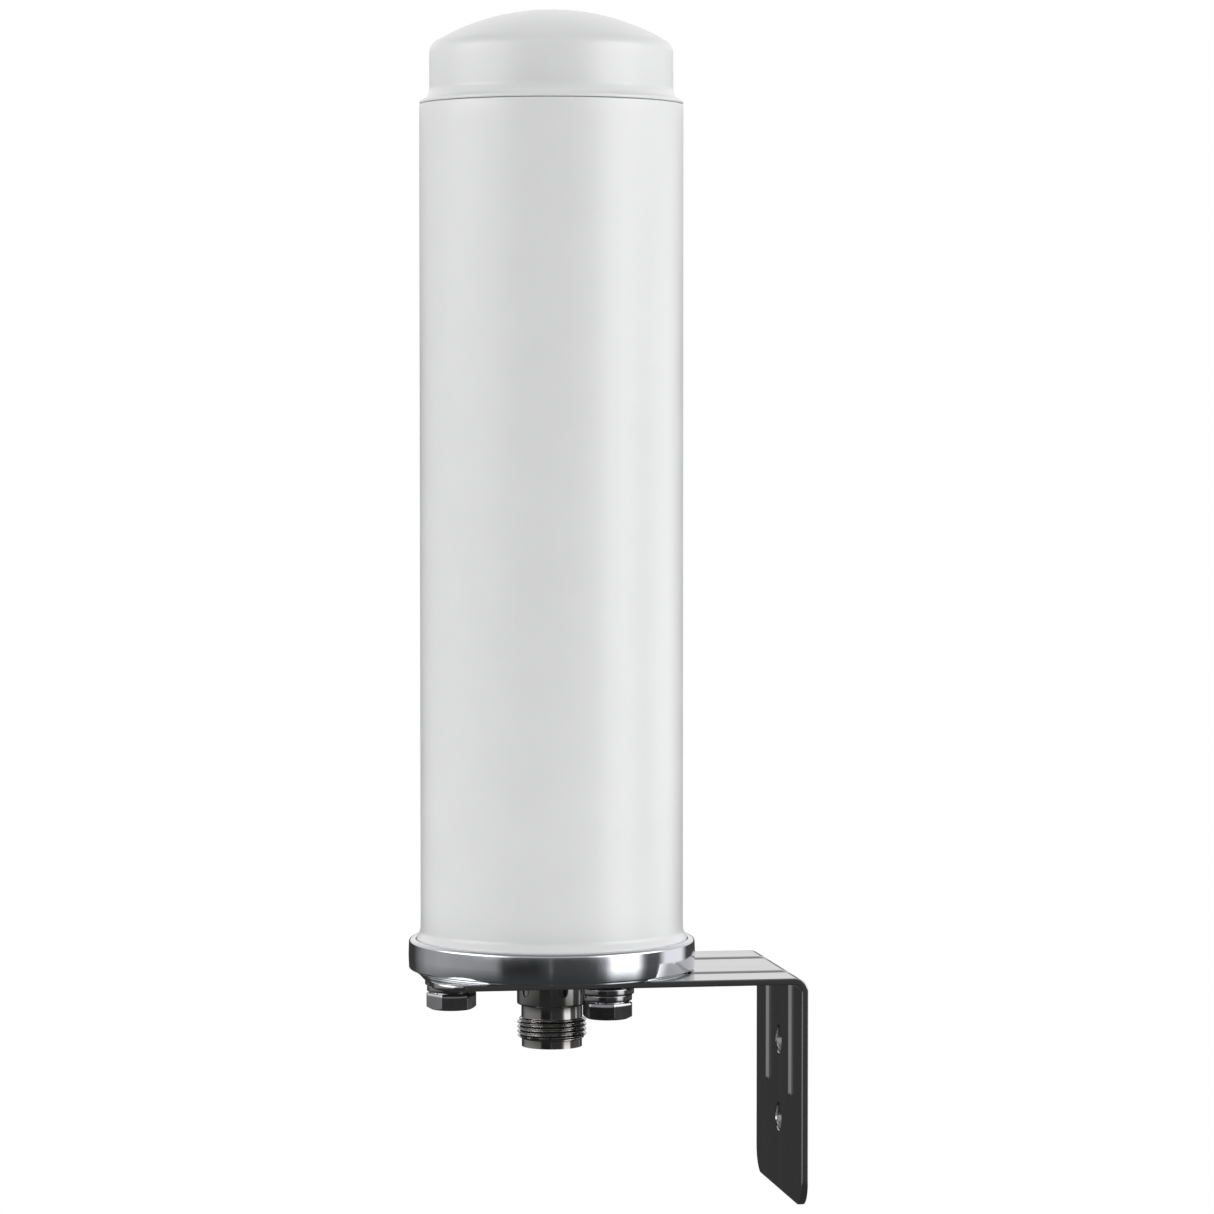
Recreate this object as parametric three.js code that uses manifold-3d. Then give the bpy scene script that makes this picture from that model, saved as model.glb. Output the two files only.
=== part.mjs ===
// Outdoor omnidirectional antenna with a socket for an RF cable and an L-shaped wall bracket.
//
// Millimetres, +Z up. The origin is on the bracket's wall face, half way between its two wall
// holes, and +X points into the wall. The antenna stands on the bracket's shelf, on its own
// vertical axis. A dipole etched on a circuit board stands inside the radome, a rigid coaxial
// line runs straight up the board's face from the socket to feed it, and three bolts hold the
// base to the shelf.

import * as THREE from "three";
import { mergeVertices } from "three/addons/utils/BufferGeometryUtils.js";
import Module from "manifold-3d";

const wasm = await Module();
wasm.setup();

// ---------------------------------------------------------------- driving dimensions

const FIT = 0.3; // radial room between a round piece and the hole that holds it

const AXIS_X = -54.5; // the antenna's axis, from the wall face
const SHELF_Z = 26.3; // top of the bracket's shelf, where the base stands

const TUBE = { r: 30, wall: 2, seam: 197.1 }; // seam: the height where tube and cap meet
const CAP = { r: 27.7, wall: 2, dome: 52, top: 218.4, round: 3, flare: 2.6, spigot: 8 };
const BASE = { r: 32.8, height: 7.2, shoulder: 1.6, seat: 4.7, floor: 5, spigot: 27.6, spigotTop: 15 };
const FOOT = { r: 30.85, flare: 1.8, top: 9.1 }; // the radome's foot in the base's seat
const O_RING = { r: 27.15, section: 0.78, z: 12, groove: 2 };

const PLATE = { t: 1.5, width: 53, back: 30, drop: 52.3, bend: 3.2, endRound: 8, tipRound: 6 };
const RIB = { y: 13, width: 4.6, height: 0.6, groove: 3.2, depth: 0.6, start: 21, stop: 30 };
const WALL_HOLE = { r: 3.25, pitch: 18 };

const BOLT = {
  ring: 23.2, shank: 2.85, length: 14, across: 10, head: 4,
  hole: 3.15, depth: 9.6, boss: 4.8, bossTop: 11,
};
const BOLT_ANGLES = [180, -66, 66]; // round the antenna's axis, in degrees
const HEAD_TURNS = [1, -24, 12]; // how far each hexagon is turned after tightening, in degrees
const FLAT_WASHER = { r: 6, hole: 3.2, t: 1.6 };
const SPRING_WASHER = { r: 5.6, hole: 3.2, t: 1.6, gap: 12 }; // gap: half the split, in degrees

// The socket: a panel jack with a 5/8 inch, 24 turns per inch thread.
const JACK = {
  tip: -17.7, lip: 6.9, thread: 7.94, root: 7.3, pitch: 25.4 / 24, turns: 4, threadTop: -11.2,
  neck: 7, neckTop: -8, collar: 8, bore: 4.2, rear: 5, rearTop: 10.4, cavity: -8,
};
const FLANGE = { size: 25.4, t: 2, round: 3, holes: 18.3, gasket: 0.8 };
const CONTACT = { r: 1.5, bore: 0.85, tip: -16.3, cup: 13.6 };
const REAR_CAP = { r: 6.4, bore: 5.3, hole: 2.1, bottom: 8.2, roof: 15, top: 17 };

const BOARD = { x: 2.75, width: 42, t: 1.6, bottom: 33, top: 183, round: 2 }; // x: beside the axis
const FOIL = 0.12;
const ARM = { width: 38, lower: [43, 106], upper: [109, 177] };
const STRIP = { width: 3, from: 76, to: 136 };
const HOLDER = {
  x: 4, y: 22, bottom: 30, top: 40, slot: 32.5,
  leg: [14.2, 17.2], pad: 23.6, padX: 3.4, padTop: 7.5, screwY: 20.8,
};
const RING = { r: 27.6, wall: 2, height: 4, lugX: 4, lugY: 19.5, bottoms: [66, 150] };

const COAX = {
  shield: 1.79, shieldBore: 1.55, dielectric: 1.45, hole: 0.6, core: 0.46, top: 106.4,
  offset: 1.39, // how far its wire steps over to lie on the upper arm
};
const SMALL_SCREW = { r: 1.3, hole: 1.6, head: 2.75, headHeight: 1.8, end: 1.4, blind: 1 }; // M3
const BOARD_SCREW = { r: 1.1, hole: 1.4, head: 2.2, headHeight: 1.6, y: 12, z: 36.5, nut: 5, nutHeight: 2 };

const ROUND = 36; // sides of the large turned pieces
const MIDDLE_ROUND = 24;
const SMALL_ROUND = 16;

// ---------------------------------------------------------------- solids

/** A closed geometry as a manifold-3d solid. */
function solid(geometry) {
  const bare = new THREE.BufferGeometry().setAttribute("position", geometry.getAttribute("position"));
  if (geometry.index) bare.setIndex(geometry.index);
  const merged = mergeVertices(bare, 1e-4);
  const index = merged.index.array;
  const corners = [];
  for (let i = 0; i < index.length; i += 3) {
    const [a, b, c] = [index[i], index[i + 1], index[i + 2]];
    if (a !== b && b !== c && a !== c) corners.push(a, b, c);
  }
  const vertProperties = new Float32Array(merged.attributes.position.array);
  const triVerts = new Uint32Array(corners);
  return new wasm.Manifold(new wasm.Mesh({ numProp: 3, vertProperties, triVerts }));
}

/** A manifold-3d solid as a geometry. */
function geometryOf(body) {
  const mesh = body.getMesh();
  return new THREE.BufferGeometry()
    .setAttribute("position", new THREE.BufferAttribute(new Float32Array(mesh.vertProperties), 3))
    .setIndex(new THREE.BufferAttribute(new Uint32Array(mesh.triVerts), 1));
}

/** The first geometry joined with, cut by, or cut down to, each of the others in turn. */
const combine = (how, first, rest) => geometryOf(rest.reduce((sum, g) => sum[how](solid(g)), solid(first)));
const join = (first, ...rest) => combine("add", first, rest);
const cut = (first, ...rest) => combine("subtract", first, rest);
const common = (first, ...rest) => combine("intersect", first, rest);

// ---------------------------------------------------------------- shapes

/** Points on an arc in the (radius, height) plane, angles in degrees. */
function arc(r0, z0, radius, from, to, steps = 6) {
  return Array.from({ length: steps + 1 }, (_, i) => {
    const a = THREE.MathUtils.degToRad(from + ((to - from) * i) / steps);
    return [r0 + radius * Math.cos(a), z0 + radius * Math.sin(a)];
  });
}

/** A turned piece about Z. The profile of [radius, height] points runs up its outside. */
function turned(profile, sides = ROUND) {
  const onAxis = profile[0][0] === 0;
  const closed = onAxis ? profile : [...profile, profile[0]];
  const points = closed.map(([r, z]) => new THREE.Vector2(r, z));
  return geometryOf(solid(new THREE.LatheGeometry(points, sides).rotateX(Math.PI / 2)));
}

/** A cylinder along Z from one height to another. */
function rod(r, from, to, sides = SMALL_ROUND, x = 0, y = 0) {
  return new THREE.CylinderGeometry(r, r, to - from, sides)
    .rotateX(Math.PI / 2)
    .translate(x, y, (from + to) / 2);
}

/** A cylinder along X, through the point (y, z). */
function crossRod(r, from, to, y, z, sides = SMALL_ROUND) {
  return new THREE.CylinderGeometry(r, r, to - from, sides)
    .rotateZ(Math.PI / 2)
    .translate((from + to) / 2, y, z);
}

/** A box from its lowest and highest corners. */
function block(low, high) {
  const [a, b] = [new THREE.Vector3(...low), new THREE.Vector3(...high)];
  const size = b.clone().sub(a);
  const middle = a.add(b).multiplyScalar(0.5);
  return new THREE.BoxGeometry(size.x, size.y, size.z).translate(middle.x, middle.y, middle.z);
}

/** A rectangle with its own radius at each corner: lower left, lower right, upper right, upper left. */
function roundedRectangle(x0, y0, x1, y1, radii) {
  const [a, b, c, d] = radii;
  const shape = new THREE.Shape().moveTo(x0 + a, y0).lineTo(x1 - b, y0);
  if (b) shape.absarc(x1 - b, y0 + b, b, -Math.PI / 2, 0);
  shape.lineTo(x1, y1 - c);
  if (c) shape.absarc(x1 - c, y1 - c, c, 0, Math.PI / 2);
  shape.lineTo(x0 + d, y1);
  if (d) shape.absarc(x0 + d, y1 - d, d, Math.PI / 2, Math.PI);
  shape.lineTo(x0, y0 + a);
  if (a) shape.absarc(x0 + a, y0 + a, a, Math.PI, 1.5 * Math.PI);
  return shape;
}

const extrude = (shape, depth, curveSegments = 6) =>
  new THREE.ExtrudeGeometry(shape, { depth, bevelEnabled: false, curveSegments });

/** A shape drawn in X and Y, extruded up from a height. */
const slab = (shape, from, to, curveSegments) =>
  extrude(shape, to - from, curveSegments).translate(0, 0, from);

/** A shape drawn in X and Z, extruded along Y about the middle. */
const across = (shape, width) => extrude(shape, width, 3).translate(0, 0, -width / 2).rotateX(Math.PI / 2);

/** A shape drawn in Y and Z, extruded along X between two places. */
function facing(shape, from, to, curveSegments) {
  const turn = new THREE.Matrix4().makeBasis(
    new THREE.Vector3(0, 1, 0), new THREE.Vector3(0, 0, 1), new THREE.Vector3(1, 0, 0));
  return extrude(shape, to - from, curveSegments).applyMatrix4(turn).translate(from, 0, 0);
}

/** The places of repeated pieces on a circle about the antenna's axis. */
const boltPlaces = BOLT_ANGLES.map((degrees) => {
  const a = THREE.MathUtils.degToRad(degrees);
  return [BOLT.ring * Math.cos(a), BOLT.ring * Math.sin(a)];
});
const flangePlaces = [[1, 1], [-1, 1], [-1, -1], [1, -1]].map((corner) =>
  corner.map((way) => (way * FLANGE.holes) / 2));

// ---------------------------------------------------------------- materials

const material = (color, roughness, metalness) =>
  new THREE.MeshStandardMaterial({ color, roughness, metalness });
const finishes = {
  radome: material(0xe6e6e4, 0.35, 0),
  chrome: material(0xb9bcc0, 0.12, 1),
  stainless: material(0x9a9b9d, 0.25, 1),
  zinc: material(0x77787a, 0.28, 1),
  nickel: material(0x8a8884, 0.18, 1),
  gold: material(0xd9b25a, 0.25, 1),
  ptfe: material(0xf2f1ec, 0.5, 0),
  rubber: material(0x1a1a1b, 0.8, 0),
  laminate: material(0x2f5e3a, 0.5, 0),
  copper: material(0xb87345, 0.3, 1),
  solder: material(0xaeb1b4, 0.3, 1),
  nylon: material(0x24262a, 0.55, 0),
};

function piece(name, geometry, finish) {
  const mesh = new THREE.Mesh(geometry, finishes[finish]);
  mesh.name = name;
  return mesh;
}

// ---------------------------------------------------------------- radome

/** The white tube: a plain wall on a foot that flares out into the base's seat. */
function radomeTube() {
  const inside = TUBE.r - TUBE.wall;
  const flareEnd = 180 + THREE.MathUtils.radToDeg(Math.acos((TUBE.r + FOOT.flare - FOOT.r) / FOOT.flare));
  return turned([
    [inside, BASE.seat], [FOOT.r, BASE.seat],
    ...arc(TUBE.r + FOOT.flare, FOOT.top, FOOT.flare, flareEnd, 180, 2),
    [TUBE.r, TUBE.seam - 0.4], [TUBE.r - FIT, TUBE.seam - 0.1], [inside, TUBE.seam - 0.1],
  ]);
}

/** The cap: a shallow dome on a short wall, a lip as wide as the tube, and a spigot inside it. */
function radomeCap() {
  const domeZ = CAP.top - CAP.dome;
  const roundR = CAP.r - CAP.round;
  const roundZ = domeZ + Math.sqrt((CAP.dome - CAP.round) ** 2 - roundR ** 2);
  const domeEdge = THREE.MathUtils.radToDeg(Math.acos(roundR / (CAP.dome - CAP.round)));
  const inside = CAP.r - CAP.wall;
  const flareZ = TUBE.seam + CAP.flare + 0.6;
  return turned([
    [0, CAP.top - CAP.wall],
    ...arc(0, domeZ, CAP.dome - CAP.wall, 82, domeEdge, 2),
    [inside, roundZ], [inside, TUBE.seam - CAP.spigot],
    [BASE.spigot - 0.5, TUBE.seam - CAP.spigot], [BASE.spigot, TUBE.seam - CAP.spigot + 0.5],
    [BASE.spigot, TUBE.seam], [TUBE.r - FIT, TUBE.seam], [TUBE.r, TUBE.seam + FIT],
    ...arc(CAP.r + CAP.flare, flareZ, CAP.flare, 240, 180, 2),
    ...arc(roundR, roundZ, CAP.round, 0, domeEdge, 3),
    ...arc(0, domeZ, CAP.dome, domeEdge + 8, 84, 3),
    [0, CAP.top],
  ]);
}

/** The seal between the radome's wall and the base's spigot. */
const radomeORing = () =>
  new THREE.TorusGeometry(O_RING.r, O_RING.section, 6, ROUND).translate(0, 0, O_RING.z);

// ---------------------------------------------------------------- base

/** The plated base: a disc with a rounded rim, a seat and spigot for the radome, and bolt bosses. */
function basePlate() {
  const groove = [O_RING.z - O_RING.groove / 2, O_RING.z + O_RING.groove / 2];
  const grooveR = O_RING.r - O_RING.section - 0.07;
  const rim = BASE.r - BASE.shoulder;
  const disc = turned([
    [0, 0], [BASE.r - 0.6, 0], [BASE.r, 0.6],
    ...arc(rim, BASE.height - BASE.shoulder, BASE.shoulder, 0, 90, 3),
    [FOOT.r + FIT, BASE.height], [FOOT.r + FIT, BASE.seat], [BASE.spigot, BASE.seat],
    [BASE.spigot, groove[0]], [grooveR, groove[0]], [grooveR, groove[1]], [BASE.spigot, groove[1]],
    [BASE.spigot, BASE.spigotTop],
    [BASE.spigot - 2.4, BASE.spigotTop], [BASE.spigot - 2.4, BASE.floor], [0, BASE.floor],
  ]);
  const inside = rod(BASE.spigot - 0.02, 1, BASE.spigotTop, ROUND);
  const bosses = boltPlaces.map(([x, y]) =>
    common(rod(BOLT.boss, 1, BOLT.bossTop, SMALL_ROUND, x, y), inside));
  const boltHoles = boltPlaces.map(([x, y]) => rod(BOLT.hole, -1, BOLT.depth, SMALL_ROUND, x, y));
  const screwPlaces = [...flangePlaces, [-BOARD.x, HOLDER.screwY], [-BOARD.x, -HOLDER.screwY]];
  const screwHoles = screwPlaces.map(([x, y]) =>
    rod(SMALL_SCREW.hole, SMALL_SCREW.blind, BASE.floor + 1, 10, x, y));
  const socketHole = rod(JACK.collar + FIT, -1, BASE.floor + 1, MIDDLE_ROUND);
  return cut(join(disc, ...bosses), socketHole, ...boltHoles, ...screwHoles);
}

// ---------------------------------------------------------------- socket

const flangeOutline = () => {
  const half = FLANGE.size / 2;
  return roundedRectangle(-half, -half, half, half, Array(4).fill(FLANGE.round));
};

/** The socket's body: threaded barrel, collar through the base, square flange and rear sleeve. */
function connectorBody() {
  const flangeZ = BASE.floor + FLANGE.gasket;
  const threadBottom = JACK.threadTop - JACK.turns * JACK.pitch;
  const crests = Array.from({ length: JACK.turns }, (_, i) => {
    const z = threadBottom + i * JACK.pitch;
    return [[JACK.root, z], [JACK.thread, z + 0.4 * JACK.pitch], [JACK.thread, z + 0.6 * JACK.pitch]];
  }).flat();
  const barrel = turned([
    [JACK.bore, JACK.tip], [JACK.lip - FIT, JACK.tip], [JACK.lip, JACK.tip + FIT],
    [JACK.lip, threadBottom - 0.1],
    ...crests, [JACK.root, JACK.threadTop],
    [JACK.neck, JACK.threadTop + 0.2], [JACK.neck, JACK.neckTop],
    [JACK.collar - 0.4, JACK.neckTop], [JACK.collar, JACK.neckTop + 0.4],
    [JACK.collar, flangeZ + 1], [JACK.rear, flangeZ + 1], [JACK.rear, JACK.rearTop],
    [JACK.bore, JACK.rearTop],
  ], MIDDLE_ROUND);
  const flange = cut(
    slab(flangeOutline(), flangeZ, flangeZ + FLANGE.t, 2),
    rod(JACK.bore, flangeZ - 1, flangeZ + FLANGE.t + 1, MIDDLE_ROUND),
    ...flangePlaces.map(([x, y]) => rod(SMALL_SCREW.hole, flangeZ - 1, flangeZ + FLANGE.t + 1, 10, x, y)),
  );
  return join(barrel, flange);
}

/** The flat seal between the socket's flange and the floor of the base. */
function connectorGasket() {
  return cut(
    slab(flangeOutline(), BASE.floor, BASE.floor + FLANGE.gasket, 2),
    rod(JACK.collar + FIT, BASE.floor - 1, BASE.floor + 2, MIDDLE_ROUND),
    ...flangePlaces.map(([x, y]) => rod(SMALL_SCREW.hole, BASE.floor - 1, BASE.floor + 2, 10, x, y)),
  );
}

const connectorInsulator = () => turned([
  [CONTACT.r + 0.15, JACK.cavity], [JACK.bore - 0.2, JACK.cavity],
  [JACK.bore - 0.2, JACK.rearTop - 0.4], [CONTACT.r + 0.15, JACK.rearTop - 0.4],
], SMALL_ROUND);

/** The centre contact: a socket for the plug's pin below, and a solder cup above. */
const connectorContact = () => turned([
  [0, -10], [CONTACT.bore, -10], [CONTACT.bore, CONTACT.tip], [CONTACT.r - 0.2, CONTACT.tip],
  [CONTACT.r, CONTACT.tip + 0.4], [CONTACT.r, JACK.rearTop - 0.4], [1.25, JACK.rearTop],
  [1.25, CONTACT.cup], [0.8, CONTACT.cup], [0.8, CONTACT.cup - 2.5], [0, CONTACT.cup - 2.5],
], 12);

/** The cap that closes the socket's rear sleeve and grips the coaxial line's shield. */
const connectorRearCap = () => turned([
  [REAR_CAP.bore, REAR_CAP.bottom], [REAR_CAP.r, REAR_CAP.bottom], [REAR_CAP.r, REAR_CAP.top - 0.8],
  [REAR_CAP.r - 0.8, REAR_CAP.top], [REAR_CAP.hole, REAR_CAP.top], [REAR_CAP.hole, REAR_CAP.roof],
  [REAR_CAP.bore, REAR_CAP.roof],
], SMALL_ROUND);

// ---------------------------------------------------------------- feed line

const coaxShield = () => turned([
  [COAX.shieldBore, REAR_CAP.roof + 0.2], [COAX.shield, REAR_CAP.roof + 0.2],
  [COAX.shield, COAX.top - 1.2], [COAX.shieldBore, COAX.top - 1.2],
], 12);

const coaxDielectric = () => turned([
  [COAX.hole, REAR_CAP.roof - 0.6], [COAX.dielectric, REAR_CAP.roof - 0.6],
  [COAX.dielectric, COAX.top], [COAX.hole, COAX.top],
], 12);

/** The line's wire: from the solder cup, through the dielectric, and over onto the upper arm. */
function coaxCore() {
  const section = new THREE.Shape().absarc(0, 0, COAX.core, 0, 2 * Math.PI);
  const path = [
    [0, 105.9], [0, 107], [0.25, 108], [0.9, 109.6], [1.35, 110.6],
    [COAX.offset, 111.4], [COAX.offset, 113],
  ];
  const places = path.map(([x, z]) => new THREE.Vector3(x, 0, z));
  const curve = new THREE.CatmullRomCurve3(places, false, "centripetal");
  const end = new THREE.ExtrudeGeometry(section, { steps: 8, curveSegments: 4, extrudePath: curve });
  return join(rod(COAX.core, CONTACT.cup - 2.2, 106.2, 8), end);
}

// ---------------------------------------------------------------- circuit board

/** The laminate, with two holes for the screws that hold it in its holder. */
function circuitBoard() {
  const half = BOARD.width / 2;
  const outline = roundedRectangle(-half, BOARD.bottom, half, BOARD.top, Array(4).fill(BOARD.round));
  const holes = [-1, 1].map((side) =>
    crossRod(BOARD_SCREW.hole, -BOARD.t, BOARD.t, side * BOARD_SCREW.y, BOARD_SCREW.z, 10));
  return cut(facing(outline, -BOARD.t / 2, BOARD.t / 2, 2), ...holes);
}

/** One arm of the dipole: a copper half-ellipse at the feed, straight sided above it. */
function radiatorArm([from, to], feedAtTop) {
  const half = ARM.width / 2;
  const rise = 24; // height of the rounded part next to the feed
  const [feed, far] = feedAtTop ? [to, from] : [from, to];
  const way = feedAtTop ? -1 : 1;
  const shape = new THREE.Shape()
    .moveTo(-half, far)
    .lineTo(-half, feed + way * rise);
  if (feedAtTop) shape.absellipse(0, feed - rise, half, rise, Math.PI, 0, true);
  else shape.absellipse(0, feed + rise, half, rise, Math.PI, 2 * Math.PI, false);
  shape.lineTo(half, far);
  return facing(shape, -BOARD.t / 2 - FOIL, -BOARD.t / 2, 8);
}

const matchingStrip = () =>
  block([BOARD.t / 2, -STRIP.width / 2, STRIP.from], [BOARD.t / 2 + FOIL, STRIP.width / 2, STRIP.to]);

/** A solder collar that ties the line's shield to the lower arm, in the board's frame. */
function shieldSolder(z) {
  const face = -BOARD.t / 2 - FOIL;
  const blob = new THREE.SphereGeometry(1, 12, 6).scale(4.6, 4.2, 2.2).translate(face, 0, z);
  const open = block([face, -9, z - 9], [face + 9, 9, z + 9]);
  const line = rod(COAX.shield + 0.1, z - 9, z + 9, 12, -BOARD.x, 0);
  return cut(blob, open, line);
}

/** The solder beside and over the end of the wire, on the upper arm, in the board's frame. */
function feedSolder() {
  const face = -BOARD.t / 2 - FOIL;
  const wireX = COAX.offset - BOARD.x;
  const z = 112.4;
  const blob = new THREE.SphereGeometry(1, 12, 6).scale(1.9, 1.9, 1.8).translate(face, 0, z);
  const open = block([face, -9, z - 9], [face + 9, 9, z + 9]);
  const room = COAX.core + 0.1;
  const wire = block([wireX - room, -room, z - 9], [face + 1, room, 113.1]);
  return cut(blob, open, wire);
}

// ---------------------------------------------------------------- what holds the board

/** The bridge over the socket: two feet on the floor of the base, and a bar with a slot. */
function boardHolder() {
  const { x, y, bottom, top, leg, pad, padX, padTop, slot } = HOLDER;
  const bar = block([-x, -y, bottom], [x, y, top]);
  const legs = [-1, 1].flatMap((side) => {
    const [near, far] = leg.map((v) => side * v).sort((a, b) => a - b);
    const [padNear, padFar] = [side * leg[0], side * pad].sort((a, b) => a - b);
    return [
      block([-padX, near, BASE.floor], [padX, far, bottom + 1]),
      block([-padX, padNear, BASE.floor], [padX, padFar, padTop]),
    ];
  });
  const boardSlot = block([-BOARD.t / 2 - 0.15, -y - 1, slot], [BOARD.t / 2 + 0.15, y + 1, top + 1]);
  const lineNotch = block([-x - 1, -2.4, bottom - 1], [-BOARD.t / 2 + 0.1, 2.4, top + 1]); // for the line
  const screwHoles = [-1, 1].flatMap((side) => [
    rod(SMALL_SCREW.hole, BASE.floor - 1, padTop + 1, 10, 0, side * HOLDER.screwY),
    crossRod(BOARD_SCREW.hole, -x - 1, x + 1, side * BOARD_SCREW.y, BOARD_SCREW.z, 10),
  ]);
  return cut(join(bar, ...legs), boardSlot, lineNotch, ...screwHoles);
}

/** A ring that keeps the board in the middle of the radome: two lugs take the board's edges. */
function centringRing(bottom) {
  const { r, wall, height, lugX, lugY } = RING;
  const hoop = turned([[r - wall, bottom], [r, bottom], [r, bottom + height], [r - wall, bottom + height]]);
  const lugs = common(
    join(
      block([BOARD.x - lugX, lugY, bottom], [BOARD.x + lugX, r, bottom + height]),
      block([BOARD.x - lugX, -r, bottom], [BOARD.x + lugX, -lugY, bottom + height]),
    ),
    rod(r - 0.3, bottom - 1, bottom + height + 1, ROUND),
  );
  const half = BOARD.width / 2 + FIT;
  const room = BOARD.t / 2 + FIT;
  const slot = block([BOARD.x - room, -half, bottom - 1], [BOARD.x + room, half, bottom + height + 1]);
  return cut(join(hoop, lugs), slot);
}

// ---------------------------------------------------------------- small fasteners

/** A pan-headed screw, with its head's underside at the height given. */
function panScrew(size, under, end, sides = 12) {
  const { r, head, headHeight } = size;
  const pan = turned([
    [0, under], [head, under], [head, under + 0.5 * headHeight],
    [0.7 * head, under + headHeight], [0, under + headHeight],
  ], sides);
  const top = under + headHeight;
  const slots = [[0.2, 0.4], [0.4, 0.2]].map(([w, d]) =>
    block([-w * head, -d * head, top - 0.5 * headHeight], [w * head, d * head, top + 1]));
  return cut(join(pan, rod(r, end, under + 0.2, 10)), ...slots);
}

/** A hexagon across Z, by its width across the flats. One flat faces -Y. */
function hexagon(acrossFlats, from, to) {
  return new THREE.CylinderGeometry(1, 1, to - from, 6)
    .rotateX(Math.PI / 2).rotateZ(Math.PI / 6)
    .scale(acrossFlats / Math.sqrt(3), acrossFlats / Math.sqrt(3), 1)
    .translate(0, 0, (from + to) / 2);
}

const boardNut = () => {
  const { nut, nutHeight, hole } = BOARD_SCREW;
  return cut(hexagon(nut, 0, nutHeight), rod(hole, -1, nutHeight + 1, 10));
};

// ---------------------------------------------------------------- bracket and its bolts

/** The L of the bracket in X and Z, as a band that starts and ends so far inside its outer face. */
function bracketBand(near, far, start, stop) {
  const bendX = -PLATE.bend;
  const bendZ = SHELF_Z - PLATE.bend;
  return new THREE.Shape()
    .moveTo(start, SHELF_Z - far).lineTo(start, SHELF_Z - near).lineTo(bendX, SHELF_Z - near)
    .absarc(bendX, bendZ, PLATE.bend - near, Math.PI / 2, 0, true)
    .lineTo(-near, stop).lineTo(-far, stop)
    .lineTo(-far, bendZ)
    .absarc(bendX, bendZ, Math.max(PLATE.bend - far, 0.4), 0, Math.PI / 2, false);
}

/** The bracket: a bent plate with two pressed ribs, holes for the bolts and socket, and wall holes. */
function mountingBracket() {
  const { t, width, back, drop, endRound, tipRound } = PLATE;
  const left = AXIS_X - back;
  const tip = SHELF_Z - drop;
  const plate = across(bracketBand(0, t, left, tip), width);
  const half = width / 2;
  const above = roundedRectangle(left, -half, 1, half, [endRound, 0, 0, endRound]);
  const plan = slab(above, tip - 1, SHELF_Z + 1, 4);
  const ahead = roundedRectangle(-half, tip, half, SHELF_Z + 1, [tipRound, tipRound, 0, 0]);
  const front = facing(ahead, left - 1, 1, 3);
  const ribEnds = [AXIS_X + RIB.start, SHELF_Z - RIB.stop];
  const inRibs = (band, ribWidth) => [-RIB.y, RIB.y].map((y) => across(band, ribWidth).translate(0, y, 0));
  const ridges = inRibs(bracketBand(t - 0.4, t + RIB.height, ...ribEnds), RIB.width);
  const grooves = inRibs(bracketBand(-1, RIB.depth, ...ribEnds), RIB.groove);
  const boltHoles = boltPlaces.map(([x, y]) =>
    rod(BOLT.hole + 0.15, 20, 30, SMALL_ROUND, AXIS_X + x, y));
  const wallHoles = [-1, 1].map((side) =>
    crossRod(WALL_HOLE.r, -9, 9, 0, (side * WALL_HOLE.pitch) / 2));
  const socketHole = rod(JACK.collar + 1, 20, 30, MIDDLE_ROUND, AXIS_X, 0);
  return cut(
    join(common(plate, plan, front), ...ridges),
    ...grooves, ...boltHoles, ...wallHoles, socketHole,
  );
}

const flatWasher = () => cut(rod(FLAT_WASHER.r, -FLAT_WASHER.t, 0, 20), rod(FLAT_WASHER.hole, -9, 9));

/** The lock washer: a ring with a split in it. */
function springWasher() {
  const a = THREE.MathUtils.degToRad(SPRING_WASHER.gap);
  const ring = new THREE.Shape()
    .absarc(0, 0, SPRING_WASHER.r, a, 2 * Math.PI - a)
    .absarc(0, 0, SPRING_WASHER.hole, 2 * Math.PI - a, a, true);
  return slab(ring, -SPRING_WASHER.t, 0, 9);
}

/** The bolt, with its head's underside at height 0 and its shank above. */
function mountBolt() {
  const corner = BOLT.across / Math.sqrt(3);
  const bevel = turned([
    [0, -BOLT.head], [0.88 * corner, -BOLT.head], [1.02 * corner, -BOLT.head + 0.5],
    [1.02 * corner, 1], [0, 1],
  ], SMALL_ROUND);
  const head = common(hexagon(BOLT.across, -BOLT.head, 0), bevel);
  const shank = turned([
    [0, -1], [BOLT.shank, -1], [BOLT.shank, BOLT.length - 0.8],
    [BOLT.shank - 0.8, BOLT.length], [0, BOLT.length],
  ], SMALL_ROUND);
  return join(head, shank);
}

/** One bolt with its two washers, under the shelf at a place on the bolt circle. */
function boltSet([x, y], number) {
  const set = new THREE.Group();
  set.position.set(x, y, -PLATE.t);
  const flat = piece(`flat_washer_${number}`, flatWasher(), "zinc");
  const spring = piece(`spring_washer_${number}`, springWasher(), "zinc");
  spring.position.z = -FLAT_WASHER.t;
  const bolt = piece(`mount_bolt_${number}`, mountBolt(), "zinc");
  bolt.position.z = -FLAT_WASHER.t - SPRING_WASHER.t;
  bolt.rotation.z = THREE.MathUtils.degToRad(HEAD_TURNS[number - 1]);
  set.add(flat, spring, bolt);
  return set;
}

// ---------------------------------------------------------------- assembly

function radome() {
  return new THREE.Group().add(
    piece("radome_tube", radomeTube(), "radome"),
    piece("radome_cap", radomeCap(), "radome"),
    piece("radome_o_ring", radomeORing(), "rubber"),
  );
}

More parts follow.
